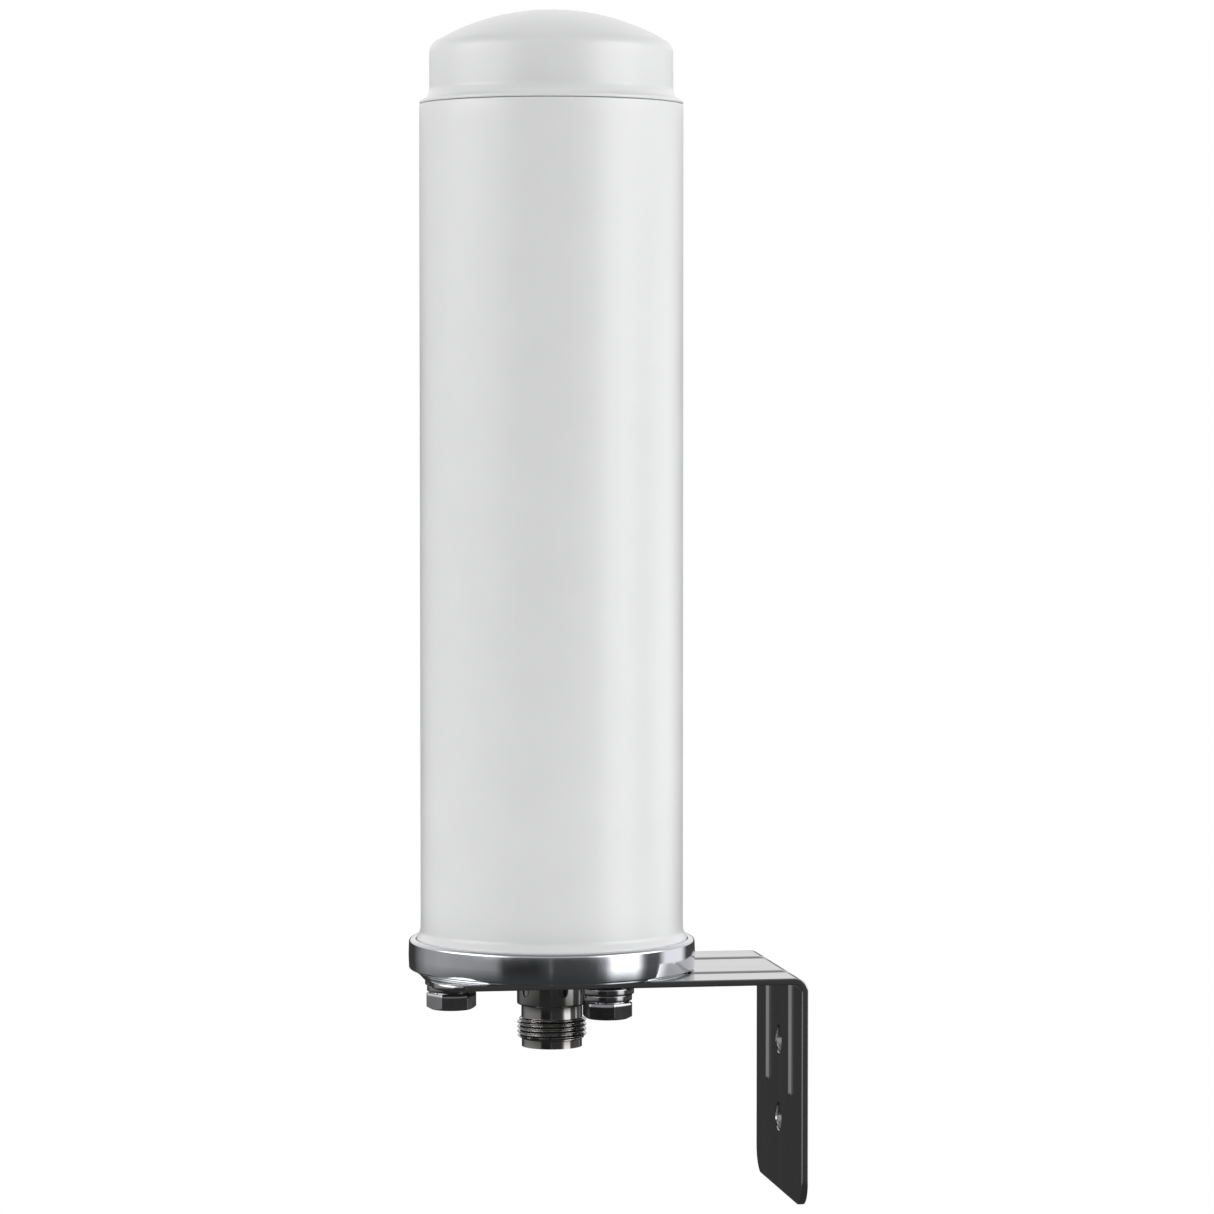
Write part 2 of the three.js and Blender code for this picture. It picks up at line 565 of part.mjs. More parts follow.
function socket() {
  const group = new THREE.Group().add(
    piece("connector_body", connectorBody(), "nickel"),
    piece("connector_gasket", connectorGasket(), "rubber"),
    piece("connector_insulator", connectorInsulator(), "ptfe"),
    piece("connector_contact", connectorContact(), "gold"),
    piece("connector_rear_cap", connectorRearCap(), "nickel"),
  );
  flangePlaces.forEach(([x, y], i) => {
    const under = BASE.floor + FLANGE.gasket + FLANGE.t;
    const flangeScrew = panScrew(SMALL_SCREW, under, SMALL_SCREW.end);
    const screw = piece(`flange_screw_${i + 1}`, flangeScrew, "zinc");
    screw.position.set(x, y, 0);
    group.add(screw);
  });
  return group;
}

function feedLine() {
  return new THREE.Group().add(
    piece("coax_shield", coaxShield(), "solder"),
    piece("coax_dielectric", coaxDielectric(), "ptfe"),
    piece("coax_core", coaxCore(), "copper"),
  );
}

/** The board with its copper, solder, holder and screws, beside the antenna's axis. */
function dipole() {
  const group = new THREE.Group();
  group.position.x = BOARD.x;
  group.add(
    piece("circuit_board", circuitBoard(), "laminate"),
    piece("radiator_lower", radiatorArm(ARM.lower, true), "copper"),
    piece("radiator_upper", radiatorArm(ARM.upper, false), "copper"),
    piece("matching_strip", matchingStrip(), "copper"),
    piece("shield_solder_lower", shieldSolder(50), "solder"),
    piece("shield_solder_upper", shieldSolder(100), "solder"),
    piece("feed_solder", feedSolder(), "solder"),
    piece("board_holder", boardHolder(), "nylon"),
  );
  [-1, 1].forEach((side, i) => {
    const footScrew = panScrew(SMALL_SCREW, HOLDER.padTop, SMALL_SCREW.end);
    const foot = piece(`holder_screw_${i + 1}`, footScrew, "zinc");
    foot.position.y = side * HOLDER.screwY;
    const boardScrew = panScrew(BOARD_SCREW, HOLDER.x, -HOLDER.x - 2.6);
    const through = piece(`board_screw_${i + 1}`, boardScrew, "zinc");
    through.position.set(0, side * BOARD_SCREW.y, BOARD_SCREW.z);
    through.rotation.y = Math.PI / 2;
    const nut = piece(`board_nut_${i + 1}`, boardNut(), "zinc");
    nut.position.set(-HOLDER.x, side * BOARD_SCREW.y, BOARD_SCREW.z);
    nut.rotation.y = -Math.PI / 2;
    group.add(foot, through, nut);
  });
  return group;
}

/** The rings that keep the board upright in the radome. */
function centringRings() {
  const [lower, upper] = RING.bottoms;
  return new THREE.Group().add(
    piece("centring_ring_lower", centringRing(lower), "nylon"),
    piece("centring_ring_upper", centringRing(upper), "nylon"),
  );
}

const inside = new THREE.Group();
inside.rotation.z = Math.PI; // the board stands on the side away from the wall
inside.add(feedLine(), dipole(), centringRings());

const head = new THREE.Group();
head.position.set(AXIS_X, 0, SHELF_Z);
head.add(radome(), piece("base_plate", basePlate(), "chrome"), socket(), inside);
boltPlaces.forEach((place, i) => head.add(boltSet(place, i + 1)));

const antenna = new THREE.Group();
antenna.add(head, piece("mounting_bracket", mountingBracket(), "stainless"));

export default antenna;
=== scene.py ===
# %% [markdown]
# # An outdoor antenna, from its white radome to the bolts of its bracket
#
# The antenna is a white plastic tube that stands on a bright plated base. A bent sheet of
# polished steel holds the base to a wall, three bolts with their washers hold the base to
# the sheet, and a threaded socket for the cable hangs under the middle.
#
# Each piece here is a surface worked out with numpy. Most are a profile carried round an
# axis or along a path, because that is how such pieces are made in the workshop: turned,
# threaded, bent or pressed. Steel and chrome have no colour of their own to speak of, so
# half of the work is the room that they reflect, and it is made first.

import math

import bmesh
import bpy
import numpy as np
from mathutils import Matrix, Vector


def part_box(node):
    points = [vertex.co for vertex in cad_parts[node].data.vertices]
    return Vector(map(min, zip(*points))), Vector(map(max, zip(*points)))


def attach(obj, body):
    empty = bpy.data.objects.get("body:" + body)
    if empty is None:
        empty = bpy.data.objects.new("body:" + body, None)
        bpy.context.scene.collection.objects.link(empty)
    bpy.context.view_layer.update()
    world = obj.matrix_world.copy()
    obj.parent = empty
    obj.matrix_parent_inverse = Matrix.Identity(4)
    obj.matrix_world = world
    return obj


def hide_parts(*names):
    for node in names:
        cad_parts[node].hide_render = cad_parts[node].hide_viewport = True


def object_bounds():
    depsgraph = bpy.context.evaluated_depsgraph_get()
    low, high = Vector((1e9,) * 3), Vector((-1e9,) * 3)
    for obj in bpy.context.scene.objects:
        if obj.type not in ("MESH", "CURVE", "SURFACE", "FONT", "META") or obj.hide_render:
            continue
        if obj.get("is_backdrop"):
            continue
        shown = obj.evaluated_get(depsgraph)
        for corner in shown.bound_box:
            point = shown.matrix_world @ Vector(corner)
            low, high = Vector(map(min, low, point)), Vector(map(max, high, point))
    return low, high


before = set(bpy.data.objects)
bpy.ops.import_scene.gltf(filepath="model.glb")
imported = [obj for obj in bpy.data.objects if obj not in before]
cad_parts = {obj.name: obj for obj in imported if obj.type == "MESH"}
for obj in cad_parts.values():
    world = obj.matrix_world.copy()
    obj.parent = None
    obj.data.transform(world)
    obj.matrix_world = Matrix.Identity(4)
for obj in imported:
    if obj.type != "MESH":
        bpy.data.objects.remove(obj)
cad_box = [list(corner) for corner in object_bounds()]
print("the model's box in metres:", cad_box)

# %% [markdown]
# ## Places
#
# Nothing here is typed in twice. The base's box gives the antenna's axis and the top of the
# bracket's shelf, and the bolts' boxes give their places. Lengths are written in
# millimetres, as on a drawing, and multiplied by MM once, when a mesh is made.

# %% Places that the other cells use
MM = 0.001


def box_mm(node):
    """A node's lowest and highest corner, in millimetres."""
    low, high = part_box(node)
    return np.array(low) / MM, np.array(high) / MM


base_low, base_high = box_mm("base_plate")
AXIS = np.array([(base_low[0] + base_high[0]) / 2, 0.0])
SHELF = base_low[2]
TOP = box_mm("radome_cap")[1][2]
CENTRE = np.array([*AXIS, SHELF])  # where the antenna's axis meets the top of the shelf
BOLTS = (1, 2, 3)
print("antenna axis at x =", round(AXIS[0], 2))
print("shelf at z =", round(SHELF, 2), "top at z =", round(TOP, 2))

# %% [markdown]
# ## The camera
#
# The object is seen from about a metre away through a long lens, a little above the height
# of its middle, and turned so that the bracket's inner face is just in view. A long lens
# keeps the tube's sides nearly parallel. The camera is placed in the antenna's own terms:
# so far from its axis, turned so far round it, at such a height over the shelf, and moved
# a little to one side so that tube and bracket share the frame.

# %% Camera
TURN = math.radians(9.3)
TILT = math.radians(2.675)
DISTANCE, ASIDE, EYE = 1034.0, 12.64, 131.2
toward = np.array([math.sin(TURN), math.cos(TURN)])
aside = np.array([math.cos(TURN), -math.sin(TURN)])
spot = AXIS + ASIDE * aside - DISTANCE * toward

lens = bpy.data.cameras.new("studio_camera")
lens.lens, lens.sensor_width = 134.5, 36.0
lens.clip_start, lens.clip_end = 0.05, 20.0
camera = bpy.data.objects.new("studio_camera", lens)
camera.location = (spot[0] * MM, spot[1] * MM, (SHELF + EYE) * MM)
camera.rotation_euler = (math.pi / 2 - TILT, 0.0, -TURN)
bpy.context.scene.collection.objects.link(camera)
bpy.context.scene.camera = camera
print("camera at", [round(v, 3) for v in camera.location])

# %% [markdown]
# ## The studio
#
# A polished base shows the room it stands in, so the room decides how it looks. Lamps and
# cards could be set up one by one. A painted sky does the same with less to keep in step:
# for every direction it says how bright the room is there. Overhead it is one soft bright
# ceiling. A narrow band at eye level is dark, with tall soft boxes in it, and the ring of
# the base reflects exactly that band. The band is drawn as brightness against the angle
# round the antenna, starting from the camera and going to its right.
#
# Above eye level two broad soft lights stand to the left and the right. They give the tube
# its lighter flanks and leave a greyer stripe down its middle.
#
# Rays that come straight from the camera see plain white, as on a shop's cut-out picture.

# %% Nodes that later cells share
def add_node(tree, kind, **settings):
    """A node of that kind, with its settings and the default values of its inputs."""
    node = tree.nodes.new(kind)
    for key, value in settings.items():
        if key in node.inputs:
            node.inputs[key].default_value = value
        else:
            setattr(node, key, value)
    return node


def ramp(tree, stops, smooth=False):
    """A colour ramp from (place, grey or colour) stops."""
    node = tree.nodes.new("ShaderNodeValToRGB")
    node.color_ramp.interpolation = "EASE" if smooth else "LINEAR"
    while len(node.color_ramp.elements) < len(stops):
        node.color_ramp.elements.new(0.5)
    for element, (place, value) in zip(node.color_ramp.elements, stops):
        element.position = place
        element.color = (value, value, value, 1.0) if np.isscalar(value) else (*value, 1.0)
    return node


def maths(tree, operation, a, b=None, clamp=False):
    """A Math node on sockets or numbers, and its result."""
    node = tree.nodes.new("ShaderNodeMath")
    node.operation, node.use_clamp = operation, clamp
    for socket, value in zip(node.inputs, (a, b)):
        if value is None:
            continue
        if isinstance(value, (int, float)):
            socket.default_value = value
        else:
            tree.links.new(value, socket)
    return node.outputs[0]


# %% How bright the room is
# The band at eye level: the angle round the antenna in degrees, 0 towards the camera and
# positive to its right, and how bright the room is there.
BAND = [
    (-180, 0.05), (-145, 0.05), (-120, 0.42), (-100, 0.48), (-75, 0.44), (-54, 0.36),
    (-45, 0.34), (-38, 0.03), (-12, 0.03), (-2, 0.07), (0, 0.20), (2, 0.07), (36, 0.08),
    (44, 0.30), (52, 2.2), (72, 2.2), (80, 0.30), (84, 0.12), (96, 0.12), (104, 1.2),
    (128, 1.2), (138, 0.08), (180, 0.05),
]
BAND_SCALE = 2.5  # a ramp holds greys up to 1, so the band is divided by this and restored

# Above the band: the ceiling over the antenna, how much brighter it is away from the camera,
# and the two side lights, with the angle at which they stand to the left and the right.
CEILING, CEILING_LEAN = 0.78, 0.24
SIDE_ANGLE = math.radians(68)
SIDE_LEFT, SIDE_RIGHT = 3.2, 3.4

# Below the band: the dark ground.
GROUND = 0.055
print("the band is drawn with", len(BAND), "points")


# %% The band and the ceiling
def ramp_of(tree, value, stops):
    """A smooth grey ramp, read at a value."""
    node = ramp(tree, stops, smooth=True)
    tree.links.new(value, node.inputs[0])
    return node.outputs["Color"]


def band_light(tree, x, y):
    """The band by the angle atan2(x, -y). Each half turn has its own ramp, for finer steps."""
    angle = maths(tree, "ARCTAN2", x, maths(tree, "MULTIPLY", y, -1.0))
    place = maths(tree, "ADD", maths(tree, "DIVIDE", angle, 2 * math.pi), 0.5)
    halves = []
    for low, high in ((-180, 0), (0, 180)):
        stops = [(a, v) for a, v in BAND if low <= a <= high]
        part = ramp(tree, [((a - low) / (high - low), v / BAND_SCALE) for a, v in stops])
        past = maths(tree, "SUBTRACT", place, (low + 180) / 360)
        tree.links.new(maths(tree, "MULTIPLY", past, 2.0, clamp=True), part.inputs[0])
        halves.append(part.outputs["Color"])
    right = maths(tree, "GREATER_THAN", place, 0.5)
    band = add_node(tree, "ShaderNodeMix", data_type="RGBA")
    tree.links.new(right, band.inputs["Factor"])
    tree.links.new(halves[0], band.inputs["A"])
    tree.links.new(halves[1], band.inputs["B"])
    return maths(tree, "MULTIPLY", band.outputs["Result"], BAND_SCALE)


def ceiling_light(tree, x, y):
    """The ceiling, brighter to the rear, plus each side light by the cosine of the angle to it."""
    sideways = maths(tree, "MULTIPLY", maths(tree, "ABSOLUTE", x), math.sin(SIDE_ANGLE))
    facing = maths(tree, "SUBTRACT", sideways, maths(tree, "MULTIPLY", y, math.cos(SIDE_ANGLE)))
    lobe = ramp_of(tree, facing, [(0.74, 0.0), (0.97, 1.0)])
    uneven = maths(tree, "MULTIPLY", x, (SIDE_RIGHT - SIDE_LEFT) / 2)
    side = maths(tree, "ADD", uneven, (SIDE_RIGHT + SIDE_LEFT) / 2)
    rear = maths(tree, "ADD", maths(tree, "MULTIPLY", y, CEILING_LEAN), CEILING)
    return maths(tree, "ADD", maths(tree, "MULTIPLY", lobe, side), rear)


# %% The painted room
def paint_room(name):
    """Brightness is the ceiling's above eye level, the band's at it, and the ground's below it."""
    world = bpy.data.worlds.new(name)
    world.use_nodes = True
    tree = world.node_tree
    tree.nodes.clear()
    turn = add_node(tree, "ShaderNodeMapping", vector_type="POINT", Rotation=(0.0, 0.0, TURN))
    direction = tree.nodes.new("ShaderNodeTexCoord").outputs["Generated"]
    tree.links.new(direction, turn.inputs["Vector"])
    parts = tree.nodes.new("ShaderNodeSeparateXYZ")
    tree.links.new(turn.outputs["Vector"], parts.inputs["Vector"])
    x, y, height = parts.outputs
    level = maths(tree, "ADD", maths(tree, "MULTIPLY", height, 0.5), 0.5)
    above = ramp_of(tree, level, [(0.505, 0.0), (0.56, 1.0), (0.76, 1.0), (0.98, 0.35)])
    at_eye = ramp_of(tree, level, [(0.345, 0.0), (0.435, 1.0), (0.505, 1.0), (0.56, 0.0)])
    below = ramp_of(tree, level, [(0.345, 1.0), (0.435, 0.0)])
    total = maths(tree, "MULTIPLY", below, GROUND)
    for where, light in ((above, ceiling_light(tree, x, y)), (at_eye, band_light(tree, x, y))):
        total = maths(tree, "ADD", total, maths(tree, "MULTIPLY", where, light))
    room = add_node(tree, "ShaderNodeBackground")
    tree.links.new(total, room.inputs["Color"])
    plain = add_node(tree, "ShaderNodeBackground", Color=(1.0, 1.0, 1.0, 1.0), Strength=1.0)
    pick = tree.nodes.new("ShaderNodeMixShader")
    tree.links.new(tree.nodes.new("ShaderNodeLightPath").outputs["Is Camera Ray"], pick.inputs[0])
    tree.links.new(room.outputs[0], pick.inputs[1])
    tree.links.new(plain.outputs[0], pick.inputs[2])
    tree.links.new(pick.outputs[0], tree.nodes.new("ShaderNodeOutputWorld").inputs["Surface"])
    bpy.context.scene.world = world
    return len(tree.nodes)


print("room painted with", paint_room("studio_room"), "nodes")
bpy.context.scene.view_settings.view_transform = "Standard"
bpy.context.scene.view_settings.look = "None"

# %% [markdown]
# ## Finishes
#
# Every finish is a few layers of noise over a plain shader. A real surface is never even:
# moulded plastic has a faint orange peel, plating pools a little, polished sheet keeps the
# lines of the belt that polished it, and a bolt is rougher where a spanner has been. Noise
# is placed by Object coordinates, so a grain of 0.3 mm is 0.3 mm on every piece.

# %% A finish with grain in its colour, its roughness and its surface
def finish(name, color, rough, metal=0.0, spread=0.06, grain=900.0, stretch=(1, 1, 1), bump=0.02,
           rough_spread=0.05, speck=None, **shader):
    """Colour and roughness vary by their spread with a coarse noise; a fine noise makes the bump."""
    made = bpy.data.materials.new(name)
    made.use_nodes = True
    tree = made.node_tree
    surface = tree.nodes["Principled BSDF"]
    surface.inputs["Metallic"].default_value = metal
    for key, value in shader.items():
        surface.inputs[key.replace("_", " ")].default_value = value
    place = tree.nodes.new("ShaderNodeTexCoord").outputs["Object"]
    lengthen = add_node(tree, "ShaderNodeMapping", Scale=stretch)
    tree.links.new(place, lengthen.inputs["Vector"])
    coarse = add_node(tree, "ShaderNodeTexNoise", Scale=grain / 9, Detail=4.0, Roughness=0.6)
    fine = add_node(tree, "ShaderNodeTexNoise", Scale=grain, Detail=3.0, Roughness=0.55)
    for noise in (coarse, fine):
        tree.links.new(lengthen.outputs["Vector"], noise.inputs["Vector"])
    dark = [c * (1 - spread) for c in color]
    light = [min(1.0, c * (1 + spread)) for c in color]
    tint = ramp(tree, [(0.3, dark), (0.7, light)])
    tree.links.new(coarse.outputs[0], tint.inputs[0])
    tone = tint.outputs["Color"]
    if speck:
        dust = add_node(tree, "ShaderNodeTexNoise", Scale=grain * 1.7, Detail=2.0)
        tree.links.new(place, dust.inputs["Vector"])
        where = ramp(tree, [(0.66, 0.0), (0.74, 1.0)])
        tree.links.new(dust.outputs[0], where.inputs[0])
        mix = add_node(tree, "ShaderNodeMix", data_type="RGBA", B=(*speck, 1.0))
        tree.links.new(maths(tree, "MULTIPLY", where.outputs["Color"], 0.5), mix.inputs["Factor"])
        tree.links.new(tone, mix.inputs["A"])
        tone = mix.outputs["Result"]
    tree.links.new(tone, surface.inputs["Base Color"])
    wear = add_node(tree, "ShaderNodeMapRange")
    wear.inputs["From Min"].default_value, wear.inputs["From Max"].default_value = 0.3, 0.7
    wear.inputs["To Min"].default_value = max(0.02, rough - rough_spread)
    wear.inputs["To Max"].default_value = rough + rough_spread
    tree.links.new(coarse.outputs[0], wear.inputs["Value"])
    tree.links.new(wear.outputs["Result"], surface.inputs["Roughness"])
    relief = add_node(tree, "ShaderNodeBump", Strength=1.0, Distance=bump * MM)
    tree.links.new(fine.outputs[0], relief.inputs["Height"])
    tree.links.new(relief.outputs["Normal"], surface.inputs["Normal"])
    return made


# %% This antenna's finishes
WHITE_PLASTIC = finish("white_moulded_plastic", (0.825, 0.828, 0.83), 0.34, spread=0.012, grain=700,
                       bump=0.004, rough_spread=0.03, Coat_Weight=0.45, Coat_Roughness=0.24)
BRIGHT_PLATE = finish("bright_plated_base", (0.60, 0.61, 0.645), 0.10, 1.0, spread=0.05, grain=600,
                      bump=0.003, rough_spread=0.045)
POLISHED_SHEET = finish("polished_steel_sheet", (0.44, 0.437, 0.445), 0.14, 1.0, spread=0.05, grain=1000,
                        stretch=(0.05, 1, 0.05), bump=0.001, rough_spread=0.04)
DARK_ZINC = finish("bolt_plating", (0.30, 0.30, 0.31), 0.13, 1.0, spread=0.12, grain=1300, bump=0.003)
DARK_NICKEL = finish("dark_nickel", (0.36, 0.352, 0.348), 0.075, 1.0, spread=0.06, grain=1100, bump=0.002,
                     rough_spread=0.03)
GOLD = finish("gold_plating", (0.80, 0.58, 0.25), 0.20, 1.0, spread=0.05, grain=1500, bump=0.001)
WHITE_INSULATOR = finish("white_insulator", (0.82, 0.82, 0.79), 0.45, spread=0.02, grain=1200, bump=0.004,
                         Subsurface_Weight=0.1, Subsurface_Scale=0.002)
BLACK_SEAL = finish("black_seal_rubber", (0.022, 0.022, 0.023), 0.62, spread=0.25, grain=1500, bump=0.01)
BLACK_NYLON = finish("black_nylon", (0.035, 0.036, 0.04), 0.42, spread=0.15, grain=1400, bump=0.008)
BARE_COPPER = finish("bare_copper", (0.78, 0.40, 0.24), 0.26, 1.0, spread=0.10, grain=900, bump=0.002)
BRIGHT_SOLDER = finish("bright_solder", (0.68, 0.69, 0.70), 0.25, 1.0, spread=0.06, grain=600, bump=0.02)
GREEN_LAMINATE = finish("green_board", (0.035, 0.16, 0.065), 0.36, spread=0.10, grain=1800, bump=0.004,
                        speck=(0.05, 0.22, 0.09))
print("finishes:", len(bpy.data.materials))

# %% [markdown]
# ## Making a mesh from arrays
#
# A surface on a grid is one array of points, rows by columns. Its faces follow from the
# same numbering, so one helper serves every piece. Columns close on themselves, as round a
# tube, and rows do too where a profile is a closed loop. A row that shrinks to the axis is
# a pole: its points are merged into one, so that the surface is closed and shades cleanly.
# An open end that isn't a pole is filled with a single face.

# %% Grids to meshes
def grid_faces(rows, columns, loop=False):
    """Squares between row r and r + 1, column c and c + 1. A loop also joins the last row to the first."""
    c = np.arange(columns)
    r = np.arange(rows if loop else rows - 1)[:, None]
    right, below = (c + 1) % columns, (r + 1) % rows
    corners = [r * columns + c, r * columns + right, below * columns + right, below * columns + c]
    return np.stack([k.ravel() for k in corners], axis=1)


def end_caps(rows, columns):
    """The first and the last row, each filled with one face."""
    first = list(range(columns))
    last = list(range((rows - 1) * columns, rows * columns))
    return [first, last[::-1]]


def weld_and_face_out(mesh, gap_mm):
    """Merges points closer than the gap and turns every face outwards."""
    work = bmesh.new()
    work.from_mesh(mesh)
    bmesh.ops.remove_doubles(work, verts=work.verts, dist=gap_mm * MM)
    bmesh.ops.dissolve_degenerate(work, edges=work.edges, dist=1e-8)
    bmesh.ops.recalc_face_normals(work, faces=work.faces)
    work.to_mesh(mesh)
    work.free()


def shade(mesh, sharp):
    """Smooth shading with crisp edges where the surface turns sharply."""
    mesh.polygons.foreach_set("use_smooth", np.ones(len(mesh.polygons), bool))
    mesh.set_sharp_from_angle(angle=math.radians(sharp))
    mesh.update()


def make_piece(name, points_mm, faces, material, sharp=32.0, weld=0.0):
    """A mesh from points in millimetres. Edges that turn by more than sharp degrees stay crisp."""
    mesh = bpy.data.meshes.new(name)
    points = (np.asarray(points_mm, float) * MM).tolist()
    mesh.from_pydata(points, [], [list(map(int, f)) for f in faces])
    made = bpy.data.objects.new(name, mesh)
    bpy.context.scene.collection.objects.link(made)
    if weld:
        weld_and_face_out(mesh, weld)
    mesh.materials.append(material)
    shade(mesh, sharp)
    return made


def finished(piece, body, slot, *nodes):
    """The piece rides on its body and stands for those nodes of the model. The slot is not used."""
    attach(piece, body)
    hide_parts(*nodes)
    piece.data.calc_loop_triangles()
    print(piece.name, "triangles:", len(piece.data.loop_triangles))


# %% [markdown]
# ## Turned pieces
#
# The tube, the cap, the base and the washers are bodies of revolution. Their profile is a
# chain of points, each a radius and a height. Corners on real pieces are never perfectly
# sharp, and a small round catches a line of light that tells the eye how big a thing is.
# So a profile is drawn with plain corners, each with a radius, and one helper rounds them.

# %% Rounded profiles, carried round an axis
def rounded(corners, steps=6, closed=True):
    """Each corner (radius, height, round) becomes an arc that touches both of its sides."""
    pts = np.array([c[:2] for c in corners], float)
    rounds = np.array([c[2] if len(c) > 2 else 0.0 for c in corners], float)
    before, after = np.roll(pts, 1, axis=0), np.roll(pts, -1, axis=0)
    out = []
    for k, (p, a, b, r) in enumerate(zip(pts, before, after, rounds)):
        end = not closed and k in (0, len(pts) - 1)
        u, v = a - p, b - p
        lu, lv = np.linalg.norm(u), np.linalg.norm(v)
        if r <= 0 or end or lu == 0 or lv == 0:
            out.append(p[None])
            continue
        u, v = u / lu, v / lv
        half = math.acos(float(np.clip(u @ v, -1, 1))) / 2
        reach = min(r / math.tan(half), 0.49 * lu, 0.49 * lv)
        radius = reach * math.tan(half)
        middle = (u + v) / np.linalg.norm(u + v)
        centre = p + middle * radius / math.sin(half)
        start, stop = p + u * reach - centre, p + v * reach - centre
        sweep = math.acos(float(np.clip(start @ stop / radius**2, -1, 1)))
        t = np.linspace(0, 1, steps + 1)[:, None]
        arc = np.sin((1 - t) * sweep) * start + np.sin(t * sweep) * stop
        out.append(centre + arc / math.sin(sweep))
    return np.concatenate(out)


def turned(profile, columns, centre=(0, 0), base=0.0, closed=True):
    """Points at (radius cos angle, radius sin angle, height) for each profile point and angle."""
    angle = np.linspace(0, 2 * math.pi, columns, endpoint=False)
    ring = np.stack([np.cos(angle), np.sin(angle)], axis=1)
    flat = profile[:, 0, None, None] * ring[None] + np.asarray(centre)[None, None, :2]
    height = np.broadcast_to((profile[:, 1] + base)[:, None, None], flat.shape[:2] + (1,))
    points = np.concatenate([flat, height], axis=2).reshape(-1, 3)
    return points, grid_faces(len(profile), columns, loop=closed)


def turned_piece(name, profile, material, columns, centre, base, closed=True):
    """A turned surface as a piece, with its poles merged."""
    points, faces = turned(profile, columns, centre, base, closed)
    return make_piece(name, points, faces, material, weld=0.004)


# %% [markdown]
# ## Radome tube
#
# The tube is extruded plastic with a plain wall. At its foot it flares out into the base,
# and at its top the cap sits on it with a hairline seam. A plain cylinder would meet the
# base at a hard corner; the small flare is what makes it look moulded.

# %% Radome tube
TUBE_R, TUBE_WALL, SEAT, SEAM = 30.0, 2.0, 4.7, 197.1
FOOT_R = 30.95
foot = [(TUBE_R - TUBE_WALL, SEAT, 0.3), (FOOT_R, SEAT, 0.3), (FOOT_R, 7.45, 0.5), (30.05, 9.0, 2.2)]
head = [(TUBE_R, SEAM - 0.12, 0.28), (TUBE_R - TUBE_WALL, SEAM - 0.12, 0.2)]
middle = [(TUBE_R, z) for z in np.linspace(12, SEAM - 4, 12)]
tube_profile = rounded(foot + middle + head)
tube = turned_piece("radome_tube_skin", tube_profile, WHITE_PLASTIC, 192, AXIS, SHELF)
finished(tube, "antenna", "radome", "radome_tube")

# %% [markdown]
# ## Radome cap
#
# The cap is moulded on its own and glued on. Seen from the side it has four parts: a lip as
# wide as the tube, a short flare in to a narrower wall, the wall, and a shallow dome. The
# dome is part of a sphere, worked out as points at equal angles, and the corner between
# dome and wall is an arc that touches both.

# %% Radome cap
CAP_TOP = TOP - SHELF
CAP_R, CAP_WALL, DOME, CORNER = 27.7, 2.0, 52.0, 3.0
CAP_SPIGOT_R, CAP_SPIGOT = 27.6, 8.0


def dome_profile(radius, top, wall_r, corner, steps=26):
    """A sphere's arc from the axis to its corner arc, which ends on the upright wall."""
    middle = top - radius
    corner_r = wall_r - corner
    corner_z = middle + math.sqrt((radius - corner) ** 2 - corner_r**2)
    edge = math.atan2(corner_z - middle, corner_r)
    bend = np.linspace(0, edge, 9)
    wall = np.array([corner_r, corner_z]) + corner * np.stack([np.cos(bend), np.sin(bend)], axis=1)
    arc = np.linspace(edge, math.pi / 2, steps)[1:]
    dome = np.stack([radius * np.cos(arc), middle + radius * np.sin(arc)], axis=1)
    dome[-1, 0] = 0.0
    return np.concatenate([wall, dome])


inside = dome_profile(DOME - CAP_WALL, CAP_TOP - CAP_WALL, CAP_R - CAP_WALL, 1.2)[::-1]
spigot = rounded([
    (CAP_R - CAP_WALL, SEAM - CAP_SPIGOT, 0.2), (CAP_SPIGOT_R, SEAM - CAP_SPIGOT, 0.4),
    (CAP_SPIGOT_R, SEAM, 0.1), (TUBE_R, SEAM, 0.32), (TUBE_R - 0.1, SEAM + 0.75, 0.5),
    (28.35, SEAM + 1.35, 1.4), (CAP_R, SEAM + 3.2, 3.0), (CAP_R, SEAM + 9.6, 0),
], steps=8, closed=False)
cap_profile = np.concatenate([inside, spigot, dome_profile(DOME, CAP_TOP, CAP_R, CORNER)])
cap = turned_piece("radome_cap_skin", cap_profile, WHITE_PLASTIC, 192, AXIS, SHELF, closed=False)
finished(cap, "antenna", "radome", "radome_cap")

# %% [markdown]
# ## Cutting holes
#
# Holes in a turned or bent piece are the one thing that a grid can't hold. Each hole is cut
# with a round cutter by a Boolean modifier, and the result is kept as a plain mesh. The
# cutter is flared at both faces by a fraction of a millimetre, which leaves the small
# chamfer that a real drilled hole has. A blind hole's cutter ends flat inside the piece.

# %% Round cutters and the cut itself
def placed(points, centre, along="Z"):
    """Points turned from Z to the wanted axis and moved."""
    x, y, z = points.T
    turned_to = {"Z": (x, y, z), "X": (z, y, -x)}[along]
    return np.stack(turned_to, axis=1) + np.asarray(centre, float)


def hole_cutter(centre, r, low, high, chamfer, columns=48, blind=False, along="Z"):
    """A rod with a cone at each end, wider by the chamfer at each face that it cuts through."""
    over = 1.0
    start = [(0, low - over), (r + chamfer + over, low - over), (r, low + chamfer)]
    if blind:
        start = [(0, low), (r, low)]
    end = [(r, high - chamfer), (r + chamfer + over, high + over), (0, high + over)]
    points, faces = turned(np.array(start + end, float), columns, closed=False)
    return placed(points, centre, along), faces


